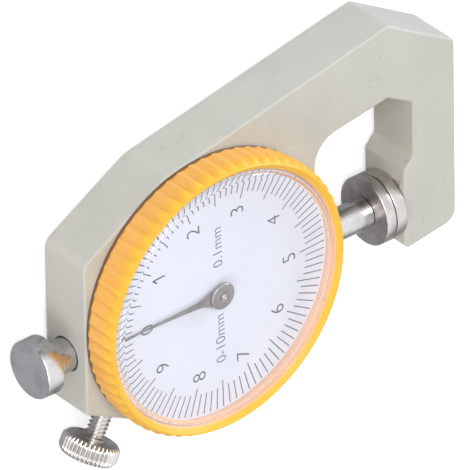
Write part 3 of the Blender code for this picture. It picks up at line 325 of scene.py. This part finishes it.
def makeBezelPlastic():
    p = bezelPlastic
    material, tree, shader, place = startMaterial("bezelPlastic")
    grain = addGrain(tree, place, p)
    parts = addNode(tree, "ShaderNodeSeparateXYZ", {"Vector": place})
    # Painted light: the ridged side below the rim is tinted paler orange, for how light falls on the side
    tint = blendColours(tree, spanNode(tree, parts.outputs[2], *p["paintedSideLightBand"]), p["paintedSideLightColour"], p["colour"])
    tint = blendColours(tree, spanNode(tree, grain["Mottle"], *p["deepSpan"], 0.0, p["deepShare"]), tint, p["deep"])
    # Painted shade: the lower edge is tinted brown, as its light comes back from the narrow gap under it
    tint = blendColours(tree, spanNode(tree, parts.outputs[2], *p["paintedGapShadeBand"]), tint, p["paintedGapShadeColour"])
    # Painted light: the wall inside the ring is tinted pale pink, as it catches the dial's light behind the crystal
    flat = addNode(tree, "ShaderNodeCombineXYZ", {"X": parts.outputs[0], "Y": parts.outputs[1]})
    reach = addNode(tree, "ShaderNodeVectorMath", settings={"operation": "LENGTH"})
    tree.links.new(flat.outputs[0], reach.inputs[0])
    tint = blendColours(tree, spanNode(tree, reach.outputs["Value"], *p["paintedWallLightRadius"]), tint, p["paintedWallLightColour"])
    tree.links.new(tint, shader.inputs["Base Color"])
    setRoughness(tree, shader, grain["Height"], grainSpan, p["roughness"])
    shader.inputs["Subsurface Weight"].default_value = p["glow"]
    shader.inputs["Subsurface Radius"].default_value = p["glowColour"]
    shader.inputs["Subsurface Scale"].default_value = p["glowReach"]
    setBump(tree, shader, grain["Height"], p["bump"], p["bumpDepth"])
    return material


dialFinish = {
    "enamel": (0.83, 0.85, 0.96, 1),
    "shade": (0.80, 0.825, 0.94, 1),
    "shadeSpan": (0.35, 0.65),
    "grainScale": 5200.0,
    "pitScale": 2000.0,
    "pitShare": 0.1,
    "roughness": (0.5, 0.62),
    "bump": 0.05,
    "bumpDepth": 0.02 * mm,
    "ink": (0.045, 0.045, 0.06, 1),
    "thinInk": (0.11, 0.11, 0.14, 1),
    "thinSpan": (0.45, 0.75),
    "inkScale": 2600.0,
    "inkSpan": (0.3, 0.7),
    "inkRoughness": (0.5, 0.7),
}


def makeDialEnamel():
    p = dialFinish
    material, tree, shader, place = startMaterial("dialEnamel")
    grain = addGrain(tree, place, p)
    tint = blendColours(tree, spanNode(tree, grain["Mottle"], *p["shadeSpan"]), p["enamel"], p["shade"])
    tree.links.new(tint, shader.inputs["Base Color"])
    setRoughness(tree, shader, grain["Height"], grainSpan, p["roughness"])
    setBump(tree, shader, grain["Height"], p["bump"], p["bumpDepth"])
    return material


def makeDialInk():
    p = dialFinish
    material, tree, shader, place = startMaterial("dialInk")
    patchy = noiseNode(tree, place, p["inkScale"], 2.0)
    tint = blendColours(tree, spanNode(tree, patchy, *p["thinSpan"]), p["ink"], p["thinInk"])
    tree.links.new(tint, shader.inputs["Base Color"])
    setRoughness(tree, shader, patchy, p["inkSpan"], p["inkRoughness"])
    return material


crystalFinish = {
    "colour": (0.985, 0.988, 1.0, 1),
    "ior": 1.49,
    "hazeScale": 900.0,
    "hazeDetail": 4.0,
    "hazeSpan": (0.45, 0.8),
    "roughness": (0.0, 0.03),
}


def makeClearAcrylic():
    p = crystalFinish
    material, tree, shader, place = startMaterial("clearAcrylic")
    haze = noiseNode(tree, place, p["hazeScale"], p["hazeDetail"])
    setRoughness(tree, shader, haze, p["hazeSpan"], p["roughness"])
    shader.inputs["Base Color"].default_value = p["colour"]
    shader.inputs["Transmission Weight"].default_value = 1.0
    shader.inputs["IOR"].default_value = p["ior"]
    return material


# Each metal: colour, smear colour, roughness low and high, ring scale and bump
metalFinishes = {
    "turnedSteel": ((0.62, 0.61, 0.63, 1), (0.48, 0.47, 0.48, 1), (0.14, 0.28), 9000.0, 0.16),
    "lappedSteel": ((0.62, 0.59, 0.58, 1), (0.46, 0.43, 0.42, 1), (0.22, 0.38), 7000.0, 0.16),
    "platedNickel": ((0.68, 0.66, 0.64, 1), (0.52, 0.50, 0.48, 1), (0.16, 0.30), 7000.0, 0.06),
    "darkHub": ((0.31, 0.285, 0.285, 1), (0.20, 0.185, 0.18, 1), (0.22, 0.36), 6000.0, 0.08),
    "yellowBrass": ((0.72, 0.53, 0.24, 1), (0.60, 0.42, 0.18, 1), (0.26, 0.40), 8000.0, 0.08),
    "bearingBronze": ((0.56, 0.36, 0.20, 1), (0.42, 0.27, 0.15, 1), (0.34, 0.50), 8000.0, 0.08),
    "springWire": ((0.42, 0.42, 0.44, 1), (0.30, 0.30, 0.32, 1), (0.26, 0.42), 11000.0, 0.05),
}
metalMarks = {
    "smearSpan": (0.4, 0.7),
    "ringSpan": (0.3, 0.7),
    "depth": 0.02 * mm,
}
alongSpindle = (0, -math.pi / 2, 0)
alongLock = (math.pi / 2, 0, 0)


def makeMetal(name, finish, centre=(0, 0, 0), turn=(0, 0, 0)):
    colour, smear, roughness, scale, bump = metalFinishes[finish]
    material, tree, shader, place = startMaterial(name)
    shader.inputs["Metallic"].default_value = 1.0
    centred = addNode(tree, "ShaderNodeVectorMath", settings={"operation": "SUBTRACT"})
    tree.links.new(place, centred.inputs[0])
    centred.inputs[1].default_value = centre
    turned = addNode(tree, "ShaderNodeMapping", {"Vector": centred.outputs[0], "Rotation": turn})
    marks = addGroup(tree, latheMarks, {"Vector": turned.outputs[0], "Ring Scale": scale})
    smears = spanNode(tree, marks["Streaks"], *metalMarks["smearSpan"])
    tree.links.new(blendColours(tree, smears, colour, smear), shader.inputs["Base Color"])
    setRoughness(tree, shader, marks["Height"], metalMarks["ringSpan"], roughness)
    setBump(tree, shader, marks["Height"], bump, metalMarks["depth"])
    return material


lockLean = math.radians(28)  # the lock screw's axis stands this far from -Y
spindleAxis = Vector((0, -4.45 * mm, 4.2 * mm))
lockStart = Vector((-7.8 * mm, -4.45 * mm, 4.2 * mm))
lockDirection = Vector((-math.sin(lockLean), -math.cos(lockLean), 0))
paint = makeCastPaint()
yellow = makeBezelPlastic()
enamel = makeDialEnamel()
ink = makeDialInk()
acrylic = makeClearAcrylic()
spindleSteel = makeMetal("spindleSteel", "turnedSteel", spindleAxis, alongSpindle)
contactSteel = makeMetal("contactSteel", "lappedSteel", spindleAxis, alongSpindle)
screwNickel = makeMetal("screwNickel", "platedNickel", lockStart, alongLock)
hubSteel = makeMetal("hubSteel", "darkHub")
brass = makeMetal("brass", "yellowBrass")
bronze = makeMetal("bronze", "bearingBronze", spindleAxis, alongSpindle)
wire = makeMetal("wire", "springWire")
print("materials made")


# Modelling helpers

def addPiece(name, bm, material, body, replaced=(), smoothAngle=30):
    bmesh.ops.remove_doubles(bm, verts=bm.verts, dist=mergeDistance)
    bmesh.ops.recalc_face_normals(bm, faces=bm.faces)
    mesh = bpy.data.meshes.new(name)
    bm.to_mesh(mesh)
    bm.free()
    mesh.materials.append(material)
    mesh.shade_smooth()
    mesh.set_sharp_from_angle(angle=math.radians(smoothAngle))
    piece = bpy.data.objects.new(name, mesh)
    scene.collection.objects.link(piece)
    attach(piece, body)
    if replaced:
        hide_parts(*replaced)
    return piece


def turnProfile(points, steps, closed=False):
    # Spins (radius, height) points, in millimetres, about Z
    bm = bmesh.new()
    verts = [bm.verts.new((radius * mm, 0, height * mm)) for radius, height in points]
    pairs = list(zip(verts, verts[1:])) + ([(verts[-1], verts[0])] if closed else [])
    edges = [bm.edges.new(pair) for pair in pairs]
    bmesh.ops.spin(bm, geom=verts + edges, cent=(0, 0, 0), axis=(0, 0, 1), angle=2 * math.pi, steps=steps,
                   use_merge=True)
    bmesh.ops.remove_doubles(bm, verts=bm.verts, dist=mergeDistance)
    return bm


def quarterRound(centre, radii, start, end, steps=5):
    # Points of an ellipse's arc, angles in degrees
    return [(centre[0] + radii[0] * math.cos(math.radians(start + (end - start) * i / steps)),
             centre[1] + radii[1] * math.sin(math.radians(start + (end - start) * i / steps)))
            for i in range(steps + 1)]


def layAlong(bm, origin, direction):
    turn = direction.to_track_quat("Z", "Y").to_matrix().to_4x4()
    bmesh.ops.transform(bm, matrix=Matrix.Translation(origin) @ turn, verts=bm.verts)


def radialShift(bm, shift):
    # Moves each vertex towards the Z axis by shift(radius, angle, height), in millimetres
    for vert in bm.verts:
        radius = math.hypot(vert.co.x, vert.co.y) / mm
        if radius < 0.01:  # on the axis
            continue
        angle = math.atan2(vert.co.y, vert.co.x)
        share = 1 - shift(radius, angle, vert.co.z / mm) / radius
        vert.co.x *= share
        vert.co.y *= share


# Frame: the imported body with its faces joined, so that its rounded edges shade smoothly
frameShape = {
    "join": mm / 1000,
    "smoothAngle": 32,
    "faceWeight": 80,
}


def addFrameShell():
    bm = bmesh.new()
    bm.from_mesh(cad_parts["frame"].data)
    bmesh.ops.remove_doubles(bm, verts=bm.verts, dist=frameShape["join"])
    shell = addPiece("frameShell", bm, paint, "body", ["frame"], frameShape["smoothAngle"])
    evened = shell.modifiers.new("evened", "WEIGHTED_NORMAL")
    evened.keep_sharp = True
    evened.weight = frameShape["faceWeight"]


addFrameShell()
print("frame dressed")


# Bezel: a ring with rounded ridges that run out below a smooth rim
bezelShape = {
    "ridges": 63,
    "stepsPerRidge": 10,
    "trough": 20.18,
    "sharpness": 0.95,
    # height, and how far a ridge stands out there
    "heights": ((8.9, 0.0), (9.1, 0.42), (11.6, 0.56), (12.3, 0.58), (12.85, 0.52), (13.2, 0.34), (13.5, 0.1),
                (13.72, 0.0)),
    "ridgedFrom": 19.72,  # points nearer to the axis belong to the rim and the inside
    "slack": 0.01,
    # radius and height all round the section: foot, ridged side, rim and inside
    "foot": ((20.2, 8.47), (20.36, 8.5), (20.4, 8.6), (20.4, 8.82), (20.3, 8.9)),
    "side": (9.1, 9.5, 10.2, 10.9, 11.6, 11.95, 12.3, 12.6, 12.85, 13.05),
    "rim": ((20.17, 13.2), (20.16, 13.5), (20.13, 13.72), (20.07, 13.85), (19.97, 13.9), (19.87, 13.87),
            (19.74, 13.77), (19.7, 13.735), (19.26, 13.36), (19.2, 13.31), (19.12, 13.2), (19.1, 13.05)),
    "inside": ((19.1, 10.95), (17.75, 10.95), (17.75, 10.15), (18.19, 10.15), (18.19, 9.25), (17.75, 9.25),
               (17.75, 8.55), (19.6, 8.5)),
    "smoothAngle": 50,
}


def ridgeShift(radius, angle, height):
    b = bezelShape
    if radius < b["ridgedFrom"] or not b["heights"][0][0] < height < b["heights"][-1][0]:
        return 0
    depth = 0.0
    for (low, lowDepth), (high, highDepth) in zip(b["heights"], b["heights"][1:]):
        if low - b["slack"] <= height <= high + b["slack"]:
            depth = lowDepth + (highDepth - lowDepth) * (height - low) / (high - low)
    wave = max(0.0, 0.5 + 0.5 * math.cos(angle * b["ridges"]))
    return -depth * wave ** b["sharpness"]


def addBezelRing():
    b = bezelShape
    points = [*b["foot"], *((b["trough"], height) for height in b["side"]), *b["rim"], *b["inside"]]
    bm = turnProfile(points, b["ridges"] * b["stepsPerRidge"], closed=True)
    radialShift(bm, ridgeShift)
    addPiece("bezelRing", bm, yellow, "bezel_ring", ["bezel"], b["smoothAngle"])


addBezelRing()
print("bezel made")


# Crystal: a thin raised pane with a rounded shoulder, a low flange and a skirt against the bezel's wall
crystalShape = {
    "flat": 17.9,
    "top": 13.72,
    "thick": 0.5,
    "round": 0.9,
    "shoulder": (90, 24),  # degrees of the outer curve, from the flat to the flange
    "fillet": ((18.76, 13.14), (18.8, 13.12)),
    "flange": 13.12,
    "outer": 19.13,
    "foot": 11.2,
    "skirt": ((18.9, 11.2), (18.9, 12.4), (18.8, 12.6), (18.5, 12.7)),
    "rings": (6, 12),
    "steps": 256,
}


def addCrystalPane():
    c = crystalShape
    middle = (c["flat"], c["top"] - c["round"])  # of both curves, so that the shoulder is as thick as the pane
    hollow = c["round"] - c["thick"]
    under = c["top"] - c["thick"]
    points = [(0, c["top"]), *((radius, c["top"]) for radius in c["rings"]),
              *quarterRound(middle, (c["round"], c["round"]), *c["shoulder"], 10), *c["fillet"],
              (c["outer"], c["flange"]), (c["outer"], c["foot"]), *c["skirt"],
              *quarterRound(middle, (hollow, hollow), 0, 90, 6),
              *((radius, under) for radius in reversed(c["rings"])), (0, under)]
    bm = turnProfile(points, c["steps"])
    piece = addPiece("crystalPane", bm, acrylic, "bezel_ring", ["crystal"])
    piece.visible_shadow = False
    piece.visible_diffuse = False


# Dial: enamelled disc with one hundred marks, ten numbers and the two scale notes
dialShape = {
    "bore": 1.2,
    "edge": 18.85,
    "low": 11.05,
    "top": 11.45,
    "steps": 160,
    "printHeight": 0.015,
    "marks": 100,
    "numbers": 10,
    "longEvery": 5,
    "markOuter": 18.5,
    "markInner": 15.2,
    "longInner": 14.2,
    "markWidth": 0.15,
    "numberRadius": 12.4,
    "numberSize": 3.25,
    "noteSize": 2.35,
    "notes": (("0.1mm", 0.15, 7.5), ("0-10mm", 0.03, -7.3)),
    "thin": -0.013,
    # the stroke before a one, as shares of the number's size
    "flag": {"reach": 0.2, "height": 0.35, "length": 0.28, "width": 0.072},
    "turn": 1.742,  # degrees, as the bezel stands in the photograph
}
printMiddle = dialShape["top"] + dialShape["printHeight"] / 2


def addDialDisc():
    d = dialShape
    points = [(d["bore"], d["low"]), (d["edge"], d["low"]), (d["edge"], d["top"]), (d["bore"], d["top"])]
    bm = turnProfile(points, d["steps"], closed=True)
    addPiece("dialDisc", bm, enamel, "bezel_ring", ["dial_plate"])


def addDialMarks(bm):
    d = dialShape
    lift = Matrix.Translation((0, 0, printMiddle * mm))
    for index in range(d["marks"]):
        inner = d["markInner"] if index % d["longEvery"] else d["longInner"]
        turn = Matrix.Rotation(math.pi - 2 * math.pi * index / d["marks"], 4, "Z")
        place = turn @ Matrix.Translation(((d["markOuter"] + inner) / 2 * mm, 0, 0))
        size = Matrix.Diagonal(((d["markOuter"] - inner) * mm, d["markWidth"] * mm, d["printHeight"] * mm, 1))
        bmesh.ops.create_cube(bm, size=1, matrix=lift @ place @ size)


def addLettering(bm, text, x, y, size):
    # The text's base line runs along +Y and its top faces -X
    curve = bpy.data.curves.new("lettering", "FONT")
    curve.body = text
    curve.size = size * mm
    curve.align_x = "CENTER"
    curve.align_y = "CENTER"
    curve.offset = dialShape["thin"] * size * mm
    curve.extrude = dialShape["printHeight"] / 2 * mm
    curve.resolution_u = 6
    item = bpy.data.objects.new("lettering", curve)
    scene.collection.objects.link(item)
    mesh = bpy.data.meshes.new_from_object(item.evaluated_get(bpy.context.evaluated_depsgraph_get()))
    bpy.data.objects.remove(item)
    place = Matrix.Translation((x * mm, y * mm, printMiddle * mm))
    mesh.transform(place @ Matrix.Rotation(math.pi / 2, 4, "Z"))
    bm.from_mesh(mesh)
    bpy.data.meshes.remove(mesh)


def addFlag(bm, x, y, size):
    flag = dialShape["flag"]
    middle = Matrix.Translation(((x - size * (flag["height"] - flag["reach"] / 2)) * mm,
                                 (y - size * flag["reach"] / 2) * mm, printMiddle * mm))
    bar = Matrix.Diagonal((size * flag["length"] * mm, size * flag["width"] * mm, dialShape["printHeight"] * mm, 1))
    bmesh.ops.create_cube(bm, size=1, matrix=middle @ Matrix.Rotation(-math.pi / 4, 4, "Z") @ bar)


def addDialPrint():
    d = dialShape
    bm = bmesh.new()
    addDialMarks(bm)
    for number in range(d["numbers"]):
        angle = math.pi - 2 * math.pi * number / d["numbers"]
        x = d["numberRadius"] * math.cos(angle)
        y = d["numberRadius"] * math.sin(angle)
        addLettering(bm, str(number), x, y, d["numberSize"])
        if number == 1:
            addFlag(bm, x, y, d["numberSize"])
    for text, x, y in d["notes"]:
        addLettering(bm, text, x, y, d["noteSize"])
    turn = Matrix.Rotation(math.radians(d["turn"]), 3, "Z")
    bmesh.ops.rotate(bm, verts=bm.verts, cent=(0, 0, 0), matrix=turn)
    addPiece("dialPrint", bm, ink, "bezel_ring", ())


addCrystalPane()
addDialDisc()
addDialPrint()
print("dial made")


# Pointer: a thin blade that flares into its round boss, with the arbor's end in the middle
pointerShape = {
    "low": 11.65,
    "thick": 0.2,
    "rise": 0.32,  # how far the blade climbs from its tip to the boss
    "length": 17.0,
    "tip": (0.3, 0.08),  # reach of the point and half its width
    # x and half the width
    "outline": ((-13.5, 0.12), (-9.5, 0.2), (-6.5, 0.3), (-4.2, 0.4), (-3.3, 0.5), (-2.6, 0.76), (-1.8, 1.2),
                (0, 1.5), (1.1, 1.0), (1.5, 0)),
}
bossShape = {
    "radius": 2.0,
    "foot": 12.07,
    "chamfer": 0.1,
    "top": 12.65,
    "crown": (0.6, 0.4),
    "crownDrop": 0.42,
    # radius, and depth below the top
    "dish": ((1.0, 0), (0.78, 0.03), (0.62, 0.14), (0.5, 0.28), (0, 0.3)),
    "steps": 96,
}
pinShape = {
    "radius": 0.38,
    "foot": 12.39,
    "top": 12.69,
    "round": (0.2, 0.15),
    "steps": 32,
}


def addPointerBlade():
    p = pointerShape
    reach, width = p["tip"]
    half = [(-p["length"], 0), (-p["length"] + reach, width), *p["outline"]]
    bm = bmesh.new()
    verts = [bm.verts.new((x * mm, y * mm, p["low"] * mm)) for x, y in half]
    verts += [bm.verts.new((x * mm, -y * mm, p["low"] * mm)) for x, y in reversed(half[1:-1])]
    face = bm.faces.new(verts)
    grown = bmesh.ops.extrude_face_region(bm, geom=[face])
    raised = [item for item in grown["geom"] if isinstance(item, bmesh.types.BMVert)]
    bmesh.ops.translate(bm, verts=raised, vec=(0, 0, p["thick"] * mm))
    for vert in bm.verts:
        vert.co.z += p["rise"] * mm * (1 + min(0, vert.co.x / mm) / p["length"])
    addPiece("pointerBlade", bm, hubSteel, "needle", ["pointer"])


def addPointerBoss():
    b = bossShape
    crown = quarterRound((b["radius"] - b["crown"][0], b["top"] - b["crownDrop"]), b["crown"], 0, 90, 8)
    points = [(0, b["foot"]), (b["radius"] - b["chamfer"], b["foot"]), (b["radius"], b["foot"] + b["chamfer"]),
              *crown, *((radius, b["top"] - depth) for radius, depth in b["dish"])]
    addPiece("pointerBoss", turnProfile(points, b["steps"]), hubSteel, "needle", ["pointer_hub"])


def addPointerPin():
    p = pinShape
    across, drop = p["round"]
    points = [(0, p["foot"]), (p["radius"], p["foot"]),
              *quarterRound((p["radius"] - across, p["top"] - drop), p["round"], 0, 90, 4), (0, p["top"])]
    addPiece("pointerPin", turnProfile(points, p["steps"]), spindleSteel, "needle", ())


addPointerBlade()
addPointerBoss()
addPointerPin()
print("pointer made")


# Contacts and button, turned about the spindle's axis; heights are places along X
contactShape = {
    "radius": 5.0,
    "moving": (31.8, 33.45, 0.16),  # start, end and edge round
    "fixed": (33.56, 35.35, 0.14),
    "stem": ((2.0, 35.35), (2.0, 39.9), (0, 39.9)),
}
buttonShape = {
    "radius": 4.2,
    "face": -26.85,
    "faceRadius": 3.86,
    "faceEdge": 0.3,
    "back": -24.05,
    "backEdge": 0.15,
    "recess": ((1.5, -24.05), (1.45, -24.1), (0, -24.1)),
}
turnedSteps = 128


def addTurned(name, points, material, body, replaced):
    bm = turnProfile(points, turnedSteps)
    layAlong(bm, spindleAxis, Vector((1, 0, 0)))
    addPiece(name, bm, material, body, replaced)


def discSection(low, high, edge):
    radius = contactShape["radius"]
    return [(0, low), *quarterRound((radius - edge, low + edge), (edge, edge), -90, 0, 3),
            *quarterRound((radius - edge, high - edge), (edge, edge), 0, 90, 3)]


def addContacts():
    c = contactShape
    moving = [*discSection(*c["moving"]), (0, c["moving"][1])]
    addTurned("movingDisc", moving, contactSteel, "plunger", ["moving_contact"])
    fixed = [*discSection(*c["fixed"]), *c["stem"]]
    addTurned("anvilDisc", fixed, contactSteel, "body", ["fixed_anvil"])


def addButton():
    b = buttonShape
    front, rear = b["faceEdge"], b["backEdge"]
    points = [(0, b["face"]), (b["faceRadius"], b["face"]),
              *quarterRound((b["radius"] - front, b["face"] + front), (front, front), -90, 0, 4),
              *quarterRound((b["radius"] - rear, b["back"] - rear), (rear, rear), 0, 90, 3), *b["recess"]]
    addTurned("buttonCap", points, spindleSteel, "plunger", ["end_button"])


addContacts()
addButton()
print("contacts and button made")


# Lock screw: cut thread, thin collar and a head with straight rounded flutes
lockShape = {
    "pitch": 0.6,
    "crest": 1.4,
    "root": 1.08,
    "start": 9.5,
    "turns": 13,
    "tooth": ((0.0, "root"), (0.12, "root"), (0.42, "crest"), (0.55, "crest"), (0.88, "root")),
    "threadSteps": 40,
    "threadMerge": mm / 5000,
    "headLow": 17.66,
    "headLength": 2.9,
    # radius, and distance from the head's near face
    "collar": ((0, -0.32), (0.98, -0.32), (1.55, -0.32), (1.75, -0.22), (1.75, -0.08), (1.95, 0)),
    "rim": ((3.45, 0), (3.62, 0.06), (3.98, 0.42), (4.15, 0.68), (4.15, 1.1)),
    "face": ((1.2, 0), (0, 0.04)),  # the same, from the far face
    "flutes": 38,
    "stepsPerFlute": 8,
    "fluteDepth": 0.34,
    "fluteFrom": 3.7,
    "fluteFade": (3.62, 0.42),
    "fluteSharpness": 1.4,
    "smoothAngle": 40,
}


def addLockThread(bm):
    pitch = lockShape["pitch"]
    steps = lockShape["threadSteps"]
    points = [(lockShape[kind], lockShape["start"] + (turn + share) * pitch)
              for turn in range(lockShape["turns"]) for share, kind in lockShape["tooth"]]
    verts = [bm.verts.new((radius * mm, 0, height * mm)) for radius, height in points]
    edges = [bm.edges.new(pair) for pair in zip(verts, verts[1:])]
    bmesh.ops.spin(bm, geom=verts + edges, cent=(0, 0, 0), axis=(0, 0, 1), angle=2 * math.pi, steps=steps,
                   dvec=(0, 0, pitch * mm / steps))
    bmesh.ops.remove_doubles(bm, verts=bm.verts, dist=lockShape["threadMerge"])
    rims = [edge for edge in bm.edges if len(edge.link_faces) == 1]
    bmesh.ops.holes_fill(bm, edges=rims, sides=0)


def fluteShift(radius, angle, height):
    if radius < lockShape["fluteFrom"]:
        return 0
    start, reach = lockShape["fluteFade"]
    wave = 0.5 - 0.5 * math.cos(angle * lockShape["flutes"])
    return lockShape["fluteDepth"] * min(1.0, (radius - start) / reach) * wave ** lockShape["fluteSharpness"]


def makeLockHead():
    low = lockShape["headLow"]
    high = low + lockShape["headLength"]
    points = [*((radius, low + away) for radius, away in lockShape["collar"] + lockShape["rim"]),
              *((radius, high - away) for radius, away in lockShape["rim"][::-1] + lockShape["face"])]
    bm = turnProfile(points, lockShape["flutes"] * lockShape["stepsPerFlute"])
    radialShift(bm, fluteShift)
    return bm


def addLockScrew():
    smoothAngle = lockShape["smoothAngle"]
    bm = makeLockHead()
    layAlong(bm, lockStart, lockDirection)
    addPiece("lockHead", bm, screwNickel, "screw", ["lock_screw"], smoothAngle)
    bm = bmesh.new()
    addLockThread(bm)
    layAlong(bm, lockStart, lockDirection)
    addPiece("lockThread", bm, screwNickel, "screw", (), smoothAngle)


addLockScrew()
print("lock screw made")


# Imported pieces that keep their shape
carriedFinishes = (
    (spindleSteel, ("spindle", "guide_pin", "rack", "spring_post", "arbor")),
    (bronze, ("front_bush", "rear_bush")),
    (brass, ("pivot_plate", "pillar_1", "pillar_2", "pillar_3", "bridge", "hairspring_stud", "hairspring_collet",
             "pinion", "spring_arm", "clamp_pad")),
    (wire, ("return_spring", "hairspring", "snap_ring")),
    (screwNickel, ("plate_screw_1", "plate_screw_2", "rack_screw_1", "rack_screw_2", "bridge_screw_1",
                   "bridge_screw_2", "bridge_screw_3")),
)


def dressCarried():
    for material, nodes in carriedFinishes:
        for node in nodes:
            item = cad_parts[node]
            item.data.materials.clear()
            item.data.materials.append(material)


dressCarried()
print("packed pieces dressed")


# Floor, world and lamps
lightSetup = {
    "floorSize": 3,
    "floorHeight": -0.85 * mm,
    "floorColour": (0.72, 0.72, 0.72, 1),
    "floorMirrored": (0.54, 0.54, 0.57, 1),
    "floorRoughness": 0.9,
    "floorGlow": 0.62,
    "world": 0.45,
    "mirroredLow": 0.2,
    "mirroredHigh": 1.3,
    "mirroredSpan": (0.08, 0.62),  # heights of the seen direction between which the mirrored sky brightens
    "lamps": (
        # name, place, size, watts, colour
        ("keyLamp", (-0.35, 0.55, 0.75), 0.55, 4.8, (1, 1, 1)),
        ("fillLamp", (-0.75, -0.25, 0.45), 0.5, 1.9, (1, 0.99, 0.97)),
        ("rimLamp", (0.95, 0.45, 0.25), 0.4, 6.0, (0.80, 0.90, 1.0)),
    ),
}
white = (1, 1, 1, 1)


def addFloor():
    bm = bmesh.new()
    bmesh.ops.create_grid(bm, x_segments=1, y_segments=1, size=lightSetup["floorSize"])
    bmesh.ops.translate(bm, verts=bm.verts, vec=(0, 0, lightSetup["floorHeight"]))
    mesh = bpy.data.meshes.new("floor")
    bm.to_mesh(mesh)
    bm.free()
    material, tree, shader, place = startMaterial("floorPaper")
    shader.inputs["Roughness"].default_value = lightSetup["floorRoughness"]
    path = addNode(tree, "ShaderNodeLightPath")
    tree.links.new(blendColours(tree, path.outputs["Is Glossy Ray"], lightSetup["floorColour"],
                                lightSetup["floorMirrored"]), shader.inputs["Base Color"])
    seen = mathNode(tree, "MAXIMUM", path.outputs["Is Camera Ray"], path.outputs["Is Transmission Ray"])
    shader.inputs["Emission Color"].default_value = white
    tree.links.new(mathNode(tree, "MULTIPLY", seen, lightSetup["floorGlow"]), shader.inputs["Emission Strength"])
    mesh.materials.append(material)
    floor = bpy.data.objects.new("floor", mesh)
    scene.collection.objects.link(floor)


def addWorld():
    # White where it is seen, dim as light, and a sky that brightens upwards where metal mirrors it
    world = bpy.data.worlds.new("studio")
    scene.world = world
    world.use_nodes = True
    tree = world.node_tree
    back = tree.nodes["Background"]
    back.inputs["Color"].default_value = white
    path = addNode(tree, "ShaderNodeLightPath")
    seen = mathNode(tree, "MAXIMUM", path.outputs["Is Camera Ray"], path.outputs["Is Transmission Ray"])
    plain = spanNode(tree, seen, 0.0, 1.0, lightSetup["world"], 1.0)
    way = addNode(tree, "ShaderNodeTexCoord")
    parts = addNode(tree, "ShaderNodeSeparateXYZ", {"Vector": way.outputs["Generated"]})
    sky = spanNode(tree, parts.outputs[2], *lightSetup["mirroredSpan"], lightSetup["mirroredLow"],
                   lightSetup["mirroredHigh"])
    inside = mathNode(tree, "GREATER_THAN", path.outputs["Transmission Depth"], 0.5)
    mirrored = mathNode(tree, "SUBTRACT", path.outputs["Is Glossy Ray"], inside, clamp=True)
    chosen = addNode(tree, "ShaderNodeMix", settings={"data_type": "FLOAT"})
    feed(tree, chosen.inputs[0], mirrored)
    feed(tree, chosen.inputs[2], plain)
    feed(tree, chosen.inputs[3], sky)
    tree.links.new(chosen.outputs[0], back.inputs["Strength"])


def addLamps():
    for name, place, size, power, colour in lightSetup["lamps"]:
        data = bpy.data.lights.new(name, "AREA")
        data.shape = "DISK"
        data.size = size
        data.energy = power
        data.color = colour
        lamp = bpy.data.objects.new(name, data)
        lamp.location = place
        lamp.rotation_euler = Vector(place).to_track_quat("Z", "Y").to_euler()
        scene.collection.objects.link(lamp)


addFloor()
addWorld()
addLamps()
print("stage lit")
